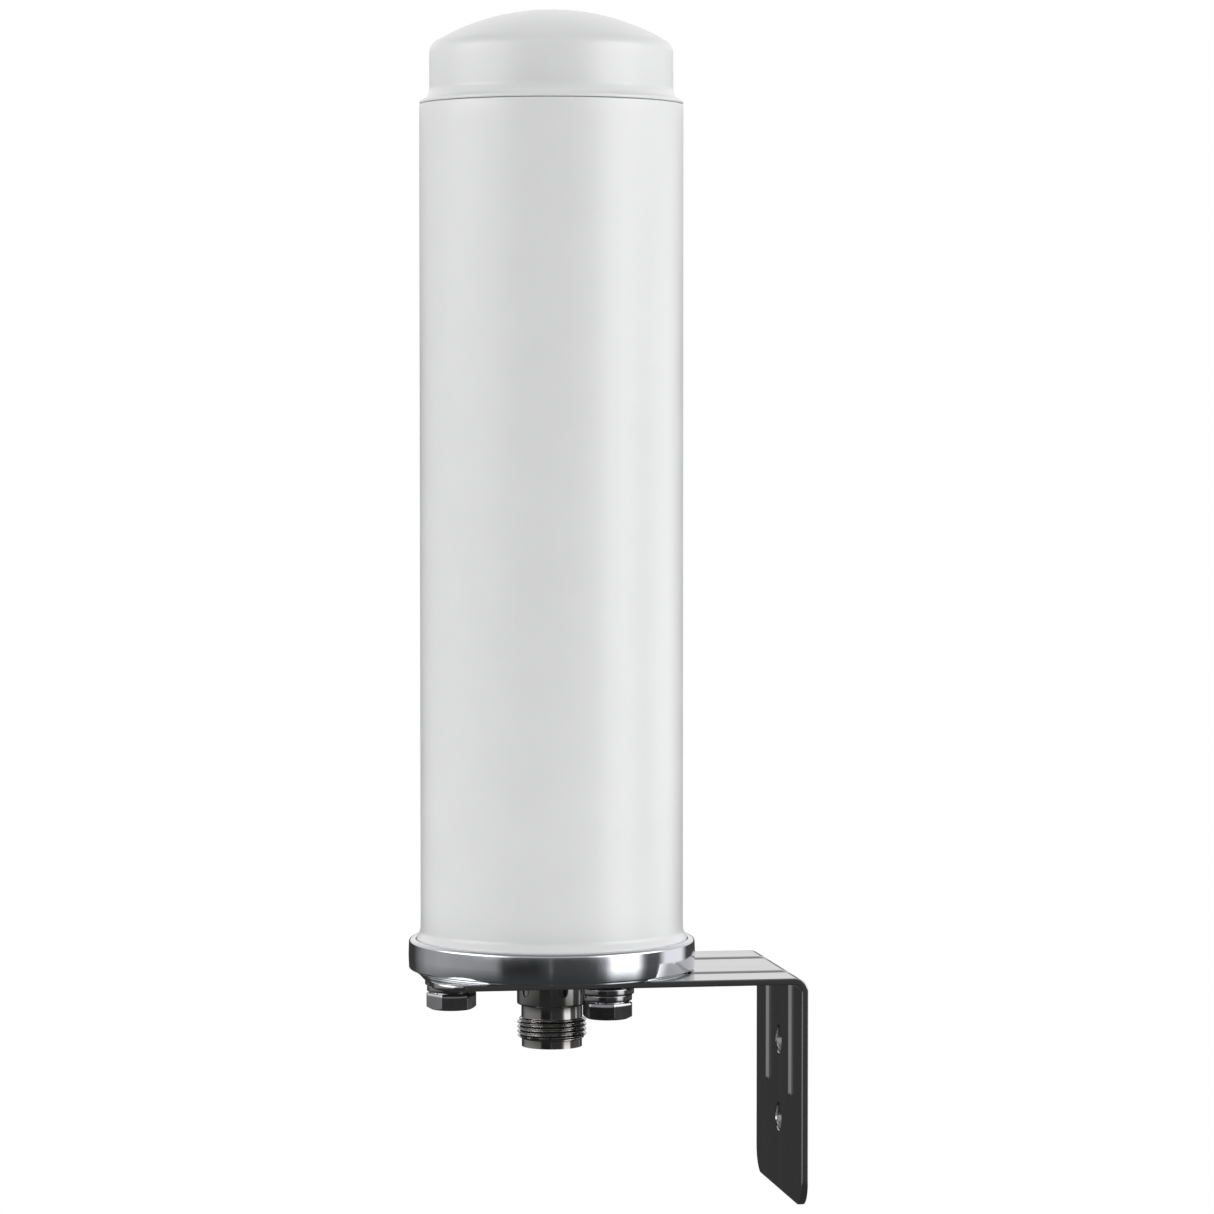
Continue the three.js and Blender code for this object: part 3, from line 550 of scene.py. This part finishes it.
def cut_away(piece, cutters, sharp=32.0):
    """Subtracts the cutters, joined in one mesh, and keeps the result as the piece's mesh."""
    firsts = np.cumsum([0] + [len(points) for points, _ in cutters])
    points = np.concatenate([points for points, _ in cutters])
    faces = np.concatenate([faces + first for (_, faces), first in zip(cutters, firsts)])
    material = piece.data.materials[0]
    cutter = make_piece("cutter", points, faces, material, weld=0.001)
    cut = piece.modifiers.new("cut", "BOOLEAN")
    cut.operation, cut.solver, cut.object = "DIFFERENCE", "EXACT", cutter
    bpy.context.view_layer.update()
    evaluated = piece.evaluated_get(bpy.context.evaluated_depsgraph_get())
    result = bpy.data.meshes.new_from_object(evaluated)
    piece.modifiers.clear()
    old = piece.data
    piece.data = result
    result.name = piece.name
    bpy.data.objects.remove(cutter)
    bpy.data.meshes.remove(old)
    result.materials.clear()
    result.materials.append(material)
    shade(result, sharp)


# %% [markdown]
# ## Plated base
#
# The base is a low disc with a rounded rim. The tube stands in a seat near the rim, and a
# spigot inside, with a groove for the seal, keeps it upright. The profile is turned with a
# real fillet at the shoulder and a wall that is crowned a little, so that its reflection
# tapers. A shallow relief under the rim keeps it clear of the bracket and leaves a dark line.
#
# The socket's hole is part of the profile. The three bolt holes and the small blind holes
# of the socket's and the holder's screws are cut out of it, and inside the spigot three
# bosses give the bolts their length of thread.

# %% Plated base
BASE_R, BASE_H = (base_high[0] - base_low[0]) / 2, 7.2
RELIEF, RELIEF_H, CROWN = 1.2, 0.45, 0.12
SOCKET_HOLE, SEAT_R, FLOOR = 8.3, 31.1, 5.0
SPIGOT_R, SPIGOT_BORE, SPIGOT_TOP = 27.6, 25.2, 15.0
GROOVE_R, GROOVE_LOW, GROOVE_HIGH = 26.3, 11.0, 13.0
base_profile = rounded([
    (SOCKET_HOLE, 0, 0.2), (BASE_R - RELIEF, 0, 0.1), (BASE_R - RELIEF, RELIEF_H, 0.1),
    (BASE_R - CROWN, RELIEF_H, 0.35), (BASE_R, BASE_H / 2, 20.0), (BASE_R - CROWN, BASE_H, 2.9),
    (SEAT_R, BASE_H, 0.2), (SEAT_R, SEAT, 0.2), (SPIGOT_R, SEAT, 0.2),
    (SPIGOT_R, GROOVE_LOW, 0.1), (GROOVE_R, GROOVE_LOW, 0.1), (GROOVE_R, GROOVE_HIGH, 0.1),
    (SPIGOT_R, GROOVE_HIGH, 0.1), (SPIGOT_R, SPIGOT_TOP, 0.5), (SPIGOT_BORE, SPIGOT_TOP, 0.3),
    (SPIGOT_BORE, FLOOR, 0.5), (SOCKET_HOLE, FLOOR, 0.2),
], steps=8)
base = turned_piece("plated_base", base_profile, BRIGHT_PLATE, 192, AXIS, SHELF)


# %% Holes in the base
def middle_of(node):
    """The middle of a node's box, seen from above, at the height of the shelf's top."""
    low, high = box_mm(node)
    return np.array([*(low[:2] + high[:2]) / 2, SHELF])


def bolt_place(number):
    """Where a bolt's axis goes through the shelf's top: the middle of its flat washer."""
    return middle_of(f"flat_washer_{number}")


THREAD_HOLE, SCREW_HOLE = 3.15, 1.6
small_screws = [f"flange_screw_{n}" for n in (1, 2, 3, 4)] + ["holder_screw_1", "holder_screw_2"]
cutters = [hole_cutter(bolt_place(n), THREAD_HOLE, 0, FLOOR, 0.3) for n in BOLTS]
cutters += [hole_cutter(middle_of(k), SCREW_HOLE, 1.0, FLOOR, 0.1, 24, blind=True) for k in small_screws]
cut_away(base, cutters, sharp=28)
finished(base, "antenna", "base_chrome", "base_plate")

# %% Bosses for the bolts
BOSS_R, BOSS_TOP, BOSS_BORE_TOP = 4.35, 11.0, 9.6
BOSS_FOOT = FLOOR - 0.02  # sunk a hair into the floor, so that no gap shows
boss_profile = rounded([
    (THREAD_HOLE, BOSS_FOOT, 0), (BOSS_R, BOSS_FOOT, 0), (BOSS_R, BOSS_TOP, 0.5),
    (0, BOSS_TOP, 0), (0, BOSS_BORE_TOP, 0), (THREAD_HOLE, BOSS_BORE_TOP, 0.2),
])
for n in BOLTS:
    boss = turned_piece(f"base_boss_{n}", boss_profile, BRIGHT_PLATE, 48, bolt_place(n), SHELF)
    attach(boss, "antenna")
print("bosses:", len(BOLTS))

# %% [markdown]
# ## Wall bracket
#
# The bracket is one strip of steel, bent once. Unrolled, it is a flat plate with rounded
# corners, a little larger at the shelf's end, and two pressed ribs. So the surface is
# worked out on the unrolled plate first: one number runs along its length, the other
# round its cross section. The ribs are a smooth rise and fall added square to the plate,
# as a press would leave them. Then the plate is rolled up: points before the bend stay
# flat, points in the bend turn about its centre, and points after it hang down.

# %% Bracket sizes
SHEET, WIDTH = 1.5, 53.0
bracket_low, bracket_high = box_mm("mounting_bracket")
WALL, END, TIP = bracket_high[0], bracket_low[0], bracket_low[2]
BEND = 3.2  # the radius of the bend's outer face
END_ROUND, TIP_ROUND = 8.0, 6.0
RIB_Y, RIB_W, RIB_RISE = 13.0, 4.4, 0.6
RIB_FLANK = RIB_W * 0.38  # the width over which a rib rises to its full height
RIB_START, RIB_STOP = 21.0, 30.0  # beyond the antenna's axis, and below the shelf
FLAT_1 = WALL - BEND - END
ARC = BEND * math.pi / 2
FLAT_2 = SHELF - BEND - TIP
LENGTH = FLAT_1 + ARC + FLAT_2
RIB_FROM = AXIS[0] + RIB_START - END
RIB_TO = FLAT_1 + ARC + RIB_STOP - BEND
print("length on the outer face", round(LENGTH, 1), "mm")
print("ribs from", round(RIB_FROM, 1), "to", round(RIB_TO, 1))


# %% Width, ribs and bend
def half_width(along):
    """Half the plate's width, less a quarter circle at the far end and a smaller one at the tip."""
    half = np.full_like(along, WIDTH / 2)
    far = np.clip(END_ROUND - along, 0, END_ROUND)
    near = np.clip(along - (LENGTH - TIP_ROUND), 0, TIP_ROUND)
    half -= END_ROUND - np.sqrt(END_ROUND**2 - far**2)
    half -= TIP_ROUND - np.sqrt(TIP_ROUND**2 - near**2)
    return half


def smooth_step(t):
    """0 below 0, 1 above 1, and between them 6 t^5 - 15 t^4 + 10 t^3, which starts and ends level."""
    t = np.clip(t, 0, 1)
    return t * t * t * (t * (6 * t - 15) + 10)


def rib_height(along, y):
    """1 on a rib and 0 off it, by the distance to the line down the rib's middle."""
    beyond = np.maximum(RIB_FROM + RIB_W / 2 - along, 0) + np.maximum(along - (RIB_TO - RIB_W / 2), 0)
    distance = np.hypot(beyond, np.abs(y) - RIB_Y)
    return smooth_step((RIB_W / 2 - distance) / RIB_FLANK)


def rolled(along, y, depth):
    """Where a point of the unrolled plate goes: flat, round the bend, then down."""
    turn = np.clip((along - FLAT_1) / BEND, 0, math.pi / 2)
    r = BEND - depth
    past = np.maximum(along - FLAT_1 - ARC, 0)
    x = np.where(along <= FLAT_1, END + along, WALL - BEND + r * np.sin(turn))
    z = np.where(along <= FLAT_1, SHELF - depth, SHELF - BEND + r * np.cos(turn) - past)
    return np.stack([x, y, z], axis=-1)


# %% Bracket surface
def bracket_rows(edge):
    """Places along the plate, close together at the rounded ends, at the ribs' ends and in the bend."""
    far_edge = (1 - np.cos(np.linspace(0.02, math.pi / 2, 6))) * edge
    far_round = END_ROUND - (END_ROUND - edge) * np.cos(np.linspace(0, math.pi / 2, 24))
    tip_round = LENGTH - TIP_ROUND + np.linspace(0, TIP_ROUND - edge, 14)
    tip_edge = LENGTH - edge + edge * np.sin(np.linspace(0, math.pi / 2 - 0.02, 6))
    stops = [END_ROUND, RIB_FROM - 0.5, RIB_FROM + 4, FLAT_1 - 0.4, FLAT_1 + ARC + 0.4,
             RIB_TO - 4, RIB_TO + 0.5, LENGTH - TIP_ROUND]
    counts = [10, 16, 12, 22, 12, 16, 10]
    between = [np.linspace(a, b, n)[1:] for a, b, n in zip(stops, stops[1:], counts)]
    return np.concatenate([far_edge, far_round[1:], *between, tip_round[1:], tip_edge[1:]])


def bracket_surface(edge=0.35):
    """The cross section is a loop: over the outer face, round one edge, back under, round the other.

    Near either end the loop shrinks by the inset, edge - sqrt(edge^2 - (edge - distance)^2),
    which rounds that end's edge as well.
    """
    along = bracket_rows(edge)
    short_by = np.clip(edge - np.minimum(along, LENGTH - along), 0, edge)
    inset = (edge - np.sqrt(edge**2 - short_by**2))[:, None]
    t = np.linspace(-1, 1, 107)
    rim = np.linspace(-math.pi / 2, math.pi / 2, 9)[1:-1]
    flat, none = np.ones(len(t)), np.zeros(len(t))
    across = np.concatenate([t, np.ones(len(rim)), t[::-1], -np.ones(len(rim))])
    bulge = np.concatenate([none, np.cos(rim), none, -np.cos(rim)])
    side = np.concatenate([-flat, np.sin(rim), flat, np.sin(rim)[::-1]])[None]
    y = across * (half_width(along)[:, None] - inset - edge) + bulge * edge
    on_face = side * (SHEET / 2 - inset)
    on_edge = np.sign(side) * (SHEET / 2 - edge) + side * (edge - inset)
    depth = SHEET / 2 + np.where(np.abs(side) < 1, on_edge, on_face)
    return along, y, depth + rib_height(along[:, None], y) * RIB_RISE


along, y, depth = bracket_surface()
rows, columns = y.shape
points = rolled(np.broadcast_to(along[:, None], y.shape), y, depth).reshape(-1, 3)
faces = [*grid_faces(rows, columns), *end_caps(rows, columns)]
bracket = make_piece("bent_bracket", points, faces, POLISHED_SHEET, sharp=40, weld=0.001)
print("bracket grid", rows, "by", columns)

# %% [markdown]
# The sheet has six holes: three for the bolts, one that clears the socket, and two for the
# wall. They are cut after the bend, as the press tool does with the sheet's outline.

# %% Bracket holes
BOLT_HOLE, SOCKET_CLEAR, WALL_HOLE = 3.3, 9.0, 3.25
cutters = [hole_cutter(bolt_place(n), BOLT_HOLE, -SHEET, 0, 0.15) for n in BOLTS]
cutters.append(hole_cutter(CENTRE, SOCKET_CLEAR, -SHEET, 0, 0.15, 96))
cutters += [hole_cutter((WALL, 0, z), WALL_HOLE, -SHEET, 0, 0.15, 64, along="X") for z in (-9, 9)]
cut_away(bracket, cutters, sharp=30)
finished(bracket, "antenna", "bracket_steel", "mounting_bracket")

# %% [markdown]
# ## Washers
#
# A flat washer is punched out of sheet, so one edge is a little round and the other crisp.
# A spring washer is a short piece of square wire wound into one turn and cut, and its two
# ends stand apart. Turned, it would be a closed ring; instead its square section is carried
# round less than a full turn while it rises slightly, and both ends are closed.

# %% Flat washers
WASHER_BORE, WASHER_R, WASHER_T = 3.2, 6.0, 1.6
washer_profile = rounded([
    (WASHER_BORE, 0, 0.12), (WASHER_R, 0, 0.22), (WASHER_R, WASHER_T, 0.4), (WASHER_BORE, WASHER_T, 0.2),
], steps=5)
for n in BOLTS:
    low, high = box_mm(f"flat_washer_{n}")
    name = f"flat_washer_{n}_turned"
    washer = turned_piece(name, washer_profile, DARK_ZINC, 96, bolt_place(n), low[2])
    finished(washer, f"washers_{n}", "bolt_steel", f"flat_washer_{n}")


# %% Spring washers
def split_ring(inner, outer, height, gap, rise, steps=80):
    """A rounded square section at every angle but the gap's, lifted by its share of the turn."""
    top = height - rise
    section = rounded([(inner, 0, 0.22), (outer, 0, 0.22), (outer, top, 0.22), (inner, top, 0.22)], steps=4)
    angle = np.linspace(gap, 2 * math.pi - gap, steps)[:, None]
    r, z = section.T
    lift = rise * (angle - gap) / (2 * math.pi - 2 * gap)
    points = np.stack([r * np.cos(angle), r * np.sin(angle), z + lift], axis=2)
    faces = [*grid_faces(steps, len(section)), *end_caps(steps, len(section))]
    return points.reshape(-1, 3), faces


for n in BOLTS:
    low, high = box_mm(f"spring_washer_{n}")
    points, faces = split_ring(inner=3.25, outer=5.55, height=1.58, gap=math.radians(13), rise=0.12)
    centre = np.array([*bolt_place(n)[:2], low[2] + 0.01])
    ring = make_piece(f"spring_washer_{n}_wound", points + centre, faces, DARK_ZINC, 35, weld=0.001)
    finished(ring, f"washers_{n}", "bolt_steel", f"spring_washer_{n}")

# %% [markdown]
# ## Bolts
#
# The head is a hexagon bar with its corners turned off by a cone, which leaves the curved
# line on each flat. That line needs no cutting: the cone's height grows with the distance
# from the axis, and the hexagon reaches further at its corners than in the middle of its
# flats, so the two meet in a curve. The thread is a ridge that climbs one pitch a turn,
# so its radius at any point depends on the height less the angle's share of the pitch.

# %% Hexagon head and thread as one surface
def hexagon_reach(angle, flats, soften=0.03):
    """Half the width across flats over the cosine of the angle from a flat's middle, less at corners."""
    fold = angle % (math.pi / 3) - math.pi / 6
    reach = flats / 2 / np.cos(fold)
    return reach - soften * np.exp(-((math.pi / 6 - np.abs(fold)) / 0.03) ** 2)


def thread_reach(angle, z, major, pitch, depth, start, stop):
    """A helix ridge: a cosine of height less angle, one pitch a turn, faded out at both ends."""
    ridge = (0.5 + 0.5 * np.cos(2 * math.pi * z / pitch - angle)) ** 0.8
    fade = smooth_step((z - start) / (0.8 * pitch)) * smooth_step((stop - z) / (0.8 * pitch))
    return major - depth * (1 - ridge * fade)


def swept(rows, angle):
    """Rows of (reach, height), each a number or one value for every angle, as a closed grid."""
    r = np.concatenate([np.broadcast_to(reach, angle.shape) for reach, _ in rows])
    z = np.concatenate([np.broadcast_to(height, angle.shape) for _, height in rows])
    points = np.stack([r * np.cos(angle), r * np.sin(angle), z], axis=2)
    return points.reshape(-1, 3), grid_faces(*r.shape)


# %% Bolts
HEAD, FLATS, SHANK, CONE = 4.0, 10.0, 14.0, math.radians(28)
THREAD_R, THREAD_PITCH, THREAD_DEPTH = 2.93, 1.0, 0.52
HEAD_TURN = {1: 1.0, 2: -24.0, 3: 12.0}


def bolt_surface(columns=120):
    """Rows from the head's outer face, over its side, under it, and up the thread to its end.

    The cone on the head rises by its tangent times the distance outside the rim.
    """
    angle = np.linspace(0, 2 * math.pi, columns, endpoint=False)[None]
    hexagon = hexagon_reach(angle, FLATS)
    rim, foot = 0.93 * FLATS / 2, 0.03 - HEAD
    rows = [(0.0, 0.25 - HEAD), (2.6, 0.25 - HEAD), (2.75, 0.2 - HEAD), (2.95, -HEAD)]
    rows += [(rim - 0.1, -HEAD), (rim, foot)]
    for t in np.linspace(0.15, 1, 7):
        beyond = t * (hexagon - rim)
        rows.append((rim + beyond, foot + beyond * math.tan(CONE)))
    top = rows[-1][1]
    rows += [(hexagon, top + t * (-0.3 - top)) for t in (0.04, 0.35, 0.7, 0.96)]
    face = 0.99 * FLATS / 2
    rows += [(hexagon - 0.12, -0.22), (face, -0.2), (face - 0.05, 0.0), (3.15, 0.0), (2.8, 0.12)]
    for z in np.arange(0.2, SHANK - 0.55, 0.06):
        reach = thread_reach(angle, z, THREAD_R, THREAD_PITCH, THREAD_DEPTH, 0.9, SHANK - 0.7)
        rows.append((reach, z))
    rows += [(2.1, SHANK - 0.1), (1.9, SHANK), (0.0, SHANK)]
    return swept(rows, angle)


for n in BOLTS:
    low, high = box_mm(f"mount_bolt_{n}")
    points, faces = bolt_surface()
    a = math.radians(HEAD_TURN[n])
    spin = np.array([[math.cos(a), -math.sin(a), 0], [math.sin(a), math.cos(a), 0], [0, 0, 1]])
    centre = np.array([*bolt_place(n)[:2], low[2] + HEAD])
    bolt = make_piece(f"hex_bolt_{n}", points @ spin.T + centre, faces, DARK_ZINC, 30, weld=0.004)
    finished(bolt, f"bolt_{n}", "bolt_steel", f"mount_bolt_{n}")

# %% [markdown]
# ## Cable socket
#
# The socket is turned brass, plated. From the top it has a collar, a plain neck, the thread
# for the plug's nut, and a lip. Inside the bore a white insulator holds the gold contact,
# whose end is slotted so that it grips the plug's pin. The outside is one grid again: the
# profile's radius is replaced by the thread's wherever the thread runs.

# %% Socket body
TIP_R, ROOT_R, NECK_R, COLLAR_R = 6.9, 7.3, 7.0, 8.0
SOCKET_TIP, THREAD_LOW, THREAD_HIGH, COLLAR_LOW, FLANGE = -17.7, -15.6, -11.2, -8.0, 5.8
SOCKET_THREAD_R, SOCKET_PITCH, SOCKET_DEPTH = 7.94, 25.4 / 24, 0.66
BORE_R, SLEEVE_R, SLEEVE_TOP = 4.2, 5.0, 10.4
socket_outside = rounded([
    (TIP_R, SOCKET_TIP, 0.25), (TIP_R, THREAD_LOW - 0.3, 0.1), (ROOT_R, THREAD_LOW, 0.1),
    (ROOT_R, THREAD_HIGH, 0.05), (NECK_R, THREAD_HIGH + 0.2, 0.15), (NECK_R, COLLAR_LOW, 0.3),
    (COLLAR_R, COLLAR_LOW, 0.35), (COLLAR_R, FLANGE, 0.1),
], steps=5, closed=False)


def dense(profile, low, high, step):
    """The profile with many more rows between two heights, for the thread."""
    z = np.arange(low, high, step)
    r = np.interp(z, profile[:, 1], profile[:, 0])
    keep_below, keep_above = profile[profile[:, 1] < low], profile[profile[:, 1] >= high]
    return np.concatenate([keep_below, np.stack([r, z], axis=1), keep_above])


def socket_surface(columns=144):
    """Up the outside with its thread, over the sleeve, and down the bore to the lip."""
    outside = dense(socket_outside, THREAD_LOW - 0.1, THREAD_HIGH + 0.05, 0.05)
    upper = rounded([
        (COLLAR_R, FLANGE + 0.9, 0), (COLLAR_R, FLANGE + 1, 0.2), (SLEEVE_R, FLANGE + 1, 0.2),
        (SLEEVE_R, SLEEVE_TOP, 0.2), (BORE_R, SLEEVE_TOP, 0.1), (BORE_R, SOCKET_TIP + 0.4, 0),
        (BORE_R + 0.3, SOCKET_TIP, 0),
    ], steps=4, closed=False)
    profile = np.concatenate([outside, upper])
    angle = np.linspace(0, 2 * math.pi, columns, endpoint=False)[None]
    r, z = [np.broadcast_to(k[:, None], (len(profile), columns)) for k in profile.T]
    threaded = (z > THREAD_LOW - 0.15) & (z < THREAD_HIGH + 0.1)
    threaded[len(outside):] = False
    ridge = thread_reach(angle, z, SOCKET_THREAD_R, SOCKET_PITCH, SOCKET_DEPTH,
                         THREAD_LOW - 0.3, THREAD_HIGH + 0.25)
    r = np.where(threaded, ridge, r)
    points = np.stack([r * np.cos(angle), r * np.sin(angle), z], axis=2)
    return points.reshape(-1, 3), grid_faces(len(profile), columns, loop=True)


points, faces = socket_surface()
socket = make_piece("socket_barrel", points + CENTRE, faces, DARK_NICKEL, weld=0.004)
finished(socket, "antenna", "connector_plate", "connector_body")

# %% [markdown]
# The flange is a square plate with round corners and four screw holes. It is hidden by the
# base and the tube, but it is made too, because the socket would otherwise hang on nothing
# when the model is opened.

# %% Socket flange
def square_plate(half, corner, low, high, edge=0.2, steps=10):
    """A rounded square outline stacked at a few heights, drawn in a little at both faces."""
    t = np.linspace(0, math.pi / 2, steps)
    quarter = half - corner + corner * np.stack([np.cos(t), np.sin(t)], axis=1)
    turns = [np.array([[math.cos(a), -math.sin(a)], [math.sin(a), math.cos(a)]])
             for a in np.arange(4) * math.pi / 2]
    outline = np.concatenate([quarter @ turn.T for turn in turns])
    levels = [(low, 1 - edge / half), (low + edge, 1), (high - edge, 1), (high, 1 - edge / half)]
    points = np.concatenate([np.c_[outline * s, np.full(len(outline), z)] for z, s in levels])
    n = len(outline)
    return points, [*grid_faces(4, n), *[cap[::-1] for cap in end_caps(4, n)]]


FLANGE_HALF, FLANGE_T, SCREW_AT = 12.7, 2.0, 9.15
points, faces = square_plate(FLANGE_HALF, 3.0, FLANGE, FLANGE + FLANGE_T)
flange = make_piece("socket_flange", points + CENTRE, faces, DARK_NICKEL, weld=0.001)
cutters = [hole_cutter(CENTRE, COLLAR_R + 0.05, FLANGE, FLANGE + FLANGE_T, 0.05, 96)]
for x, y in [(a, b) for a in (-SCREW_AT, SCREW_AT) for b in (-SCREW_AT, SCREW_AT)]:
    cutters.append(hole_cutter(CENTRE + [x, y, 0], SCREW_HOLE, FLANGE, FLANGE + FLANGE_T, 0.1, 32))
cut_away(flange, cutters)
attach(flange, "antenna")
print("socket flange cut with", len(cutters), "holes")


# %% White insulator
WIRE_R, INSULATOR_TOP = 1.65, 10.0
insulator_profile = rounded([
    (WIRE_R, -8.0, 0.1), (2.4, -8.0, 0.1), (2.5, -7.4, 0.1), (3.9, -7.4, 0.2),
    (4.0, INSULATOR_TOP, 0.1), (WIRE_R, INSULATOR_TOP, 0.1),
], steps=3)
insulator = turned_piece("socket_insulator", insulator_profile, WHITE_INSULATOR, 72, AXIS, SHELF)
finished(insulator, "antenna", "white_insulator", "connector_insulator")

# %% Gold contact
CONTACT_TIP, PIN_DEPTH, SLOT_DEPTH = -16.3, 6.3, 5.1
contact_profile = rounded([
    (0, CONTACT_TIP + PIN_DEPTH, 0), (0.85, CONTACT_TIP + PIN_DEPTH, 0.1),
    (0.85, CONTACT_TIP + 0.3, 0.1), (1.15, CONTACT_TIP, 0.1), (1.35, CONTACT_TIP, 0.15),
    (1.5, CONTACT_TIP + 0.6, 0.4), (1.5, INSULATOR_TOP, 0.1), (1.25, 10.4, 0.1), (1.25, 13.6, 0.1),
    (0.8, 13.6, 0.1), (0.8, 11.1, 0.1), (0, 11.1, 0),
], steps=3, closed=False)
contact = turned_piece("socket_contact", contact_profile, GOLD, 60, AXIS, SHELF, closed=False)


def slot_cutter(angle, width=0.28, reach=2.2):
    """A thin box across the contact's tip, turned by an angle."""
    c, s = math.cos(angle), math.sin(angle)
    heights = (CONTACT_TIP - 0.8, CONTACT_TIP + SLOT_DEPTH)
    corners = [(x, y, z) for z in heights for y in (-width / 2, width / 2) for x in (-reach, reach)]
    x, y, z = np.array(corners).T
    spun = np.stack([x * c - y * s, x * s + y * c, z], axis=1)
    sides = [[0, 2, 3, 1], [4, 5, 7, 6], [0, 1, 5, 4], [2, 6, 7, 3], [0, 4, 6, 2], [1, 3, 7, 5]]
    return spun + CENTRE, np.array(sides)


for degrees in (20, 110):
    cut_away(contact, [slot_cutter(math.radians(degrees))])
finished(contact, "antenna", "gold_plate", "connector_contact")

# %% [markdown]
# ## What is inside
#
# The pieces inside the radome are plain engineered shapes, and the model already has them
# at the right size. They keep their own meshes and only get a finish: copper for the
# dipole's arms, green laminate for the board, white for the line's insulator, black nylon
# for the holder and the rings.

# %% Finishes for the model's own pieces
inside_finishes = {
    BLACK_SEAL: ["radome_o_ring", "connector_gasket"],
    DARK_NICKEL: ["connector_rear_cap"],
    BRIGHT_SOLDER: ["coax_shield", "shield_solder_lower", "shield_solder_upper", "feed_solder"],
    WHITE_INSULATOR: ["coax_dielectric"],
    BARE_COPPER: ["coax_core", "radiator_lower", "radiator_upper", "matching_strip"],
    GREEN_LAMINATE: ["circuit_board"],
    BLACK_NYLON: ["board_holder", "centring_ring_lower", "centring_ring_upper"],
    DARK_ZINC: [f"flange_screw_{n}" for n in (1, 2, 3, 4)]
    + [f"{kind}_{n}" for kind in ("holder_screw", "board_screw", "board_nut") for n in (1, 2)],
}
for material, nodes in inside_finishes.items():
    for node in nodes:
        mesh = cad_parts[node].data
        mesh.materials.clear()
        mesh.materials.append(material)
print("nodes dressed:", sum(len(nodes) for nodes in inside_finishes.values()))

# %% [markdown]
# ## Floor
#
# The antenna hangs on a wall that isn't here, so the floor is far below it and only keeps
# the picture pale from every side. It glows a little, so that it never reads as grey.

# %% Floor
FLOOR_HALF, FLOOR_DEPTH, GLOW = 900.0, 700.0, 0.9


def pale_floor():
    """One square, level, far under the object."""
    x, y = np.array([[-1, -1], [1, -1], [1, 1], [-1, 1]]).T * FLOOR_HALF
    return np.stack([x + AXIS[0], y, np.full(4, -FLOOR_DEPTH)], axis=1), [[0, 1, 2, 3]]


paint = finish("pale_floor_paint", (0.9, 0.9, 0.9), 0.9, spread=0.01, grain=40, bump=0.0,
               Emission_Color=(1, 1, 1, 1), Emission_Strength=GLOW)
points, faces = pale_floor()
floor = make_piece("studio_floor", points, faces, paint)
floor.visible_glossy = False
floor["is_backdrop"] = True
print("floor", round(2 * FLOOR_HALF * MM, 2), "m across")

# %% [markdown]
# ## Last look at the sizes
#
# The visual model's box is worked out like the engineered model's box, and the difference of the two is
# printed. The visual model has to stay inside the engineered model's box.

# %% Sizes, and the end
look_box = [list(corner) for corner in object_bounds()]
grown = [round((abs(b - a)) / MM, 3) for p, q in zip(cad_box, look_box) for a, b in zip(p, q)]
print("difference of the two boxes in mm:", grown)
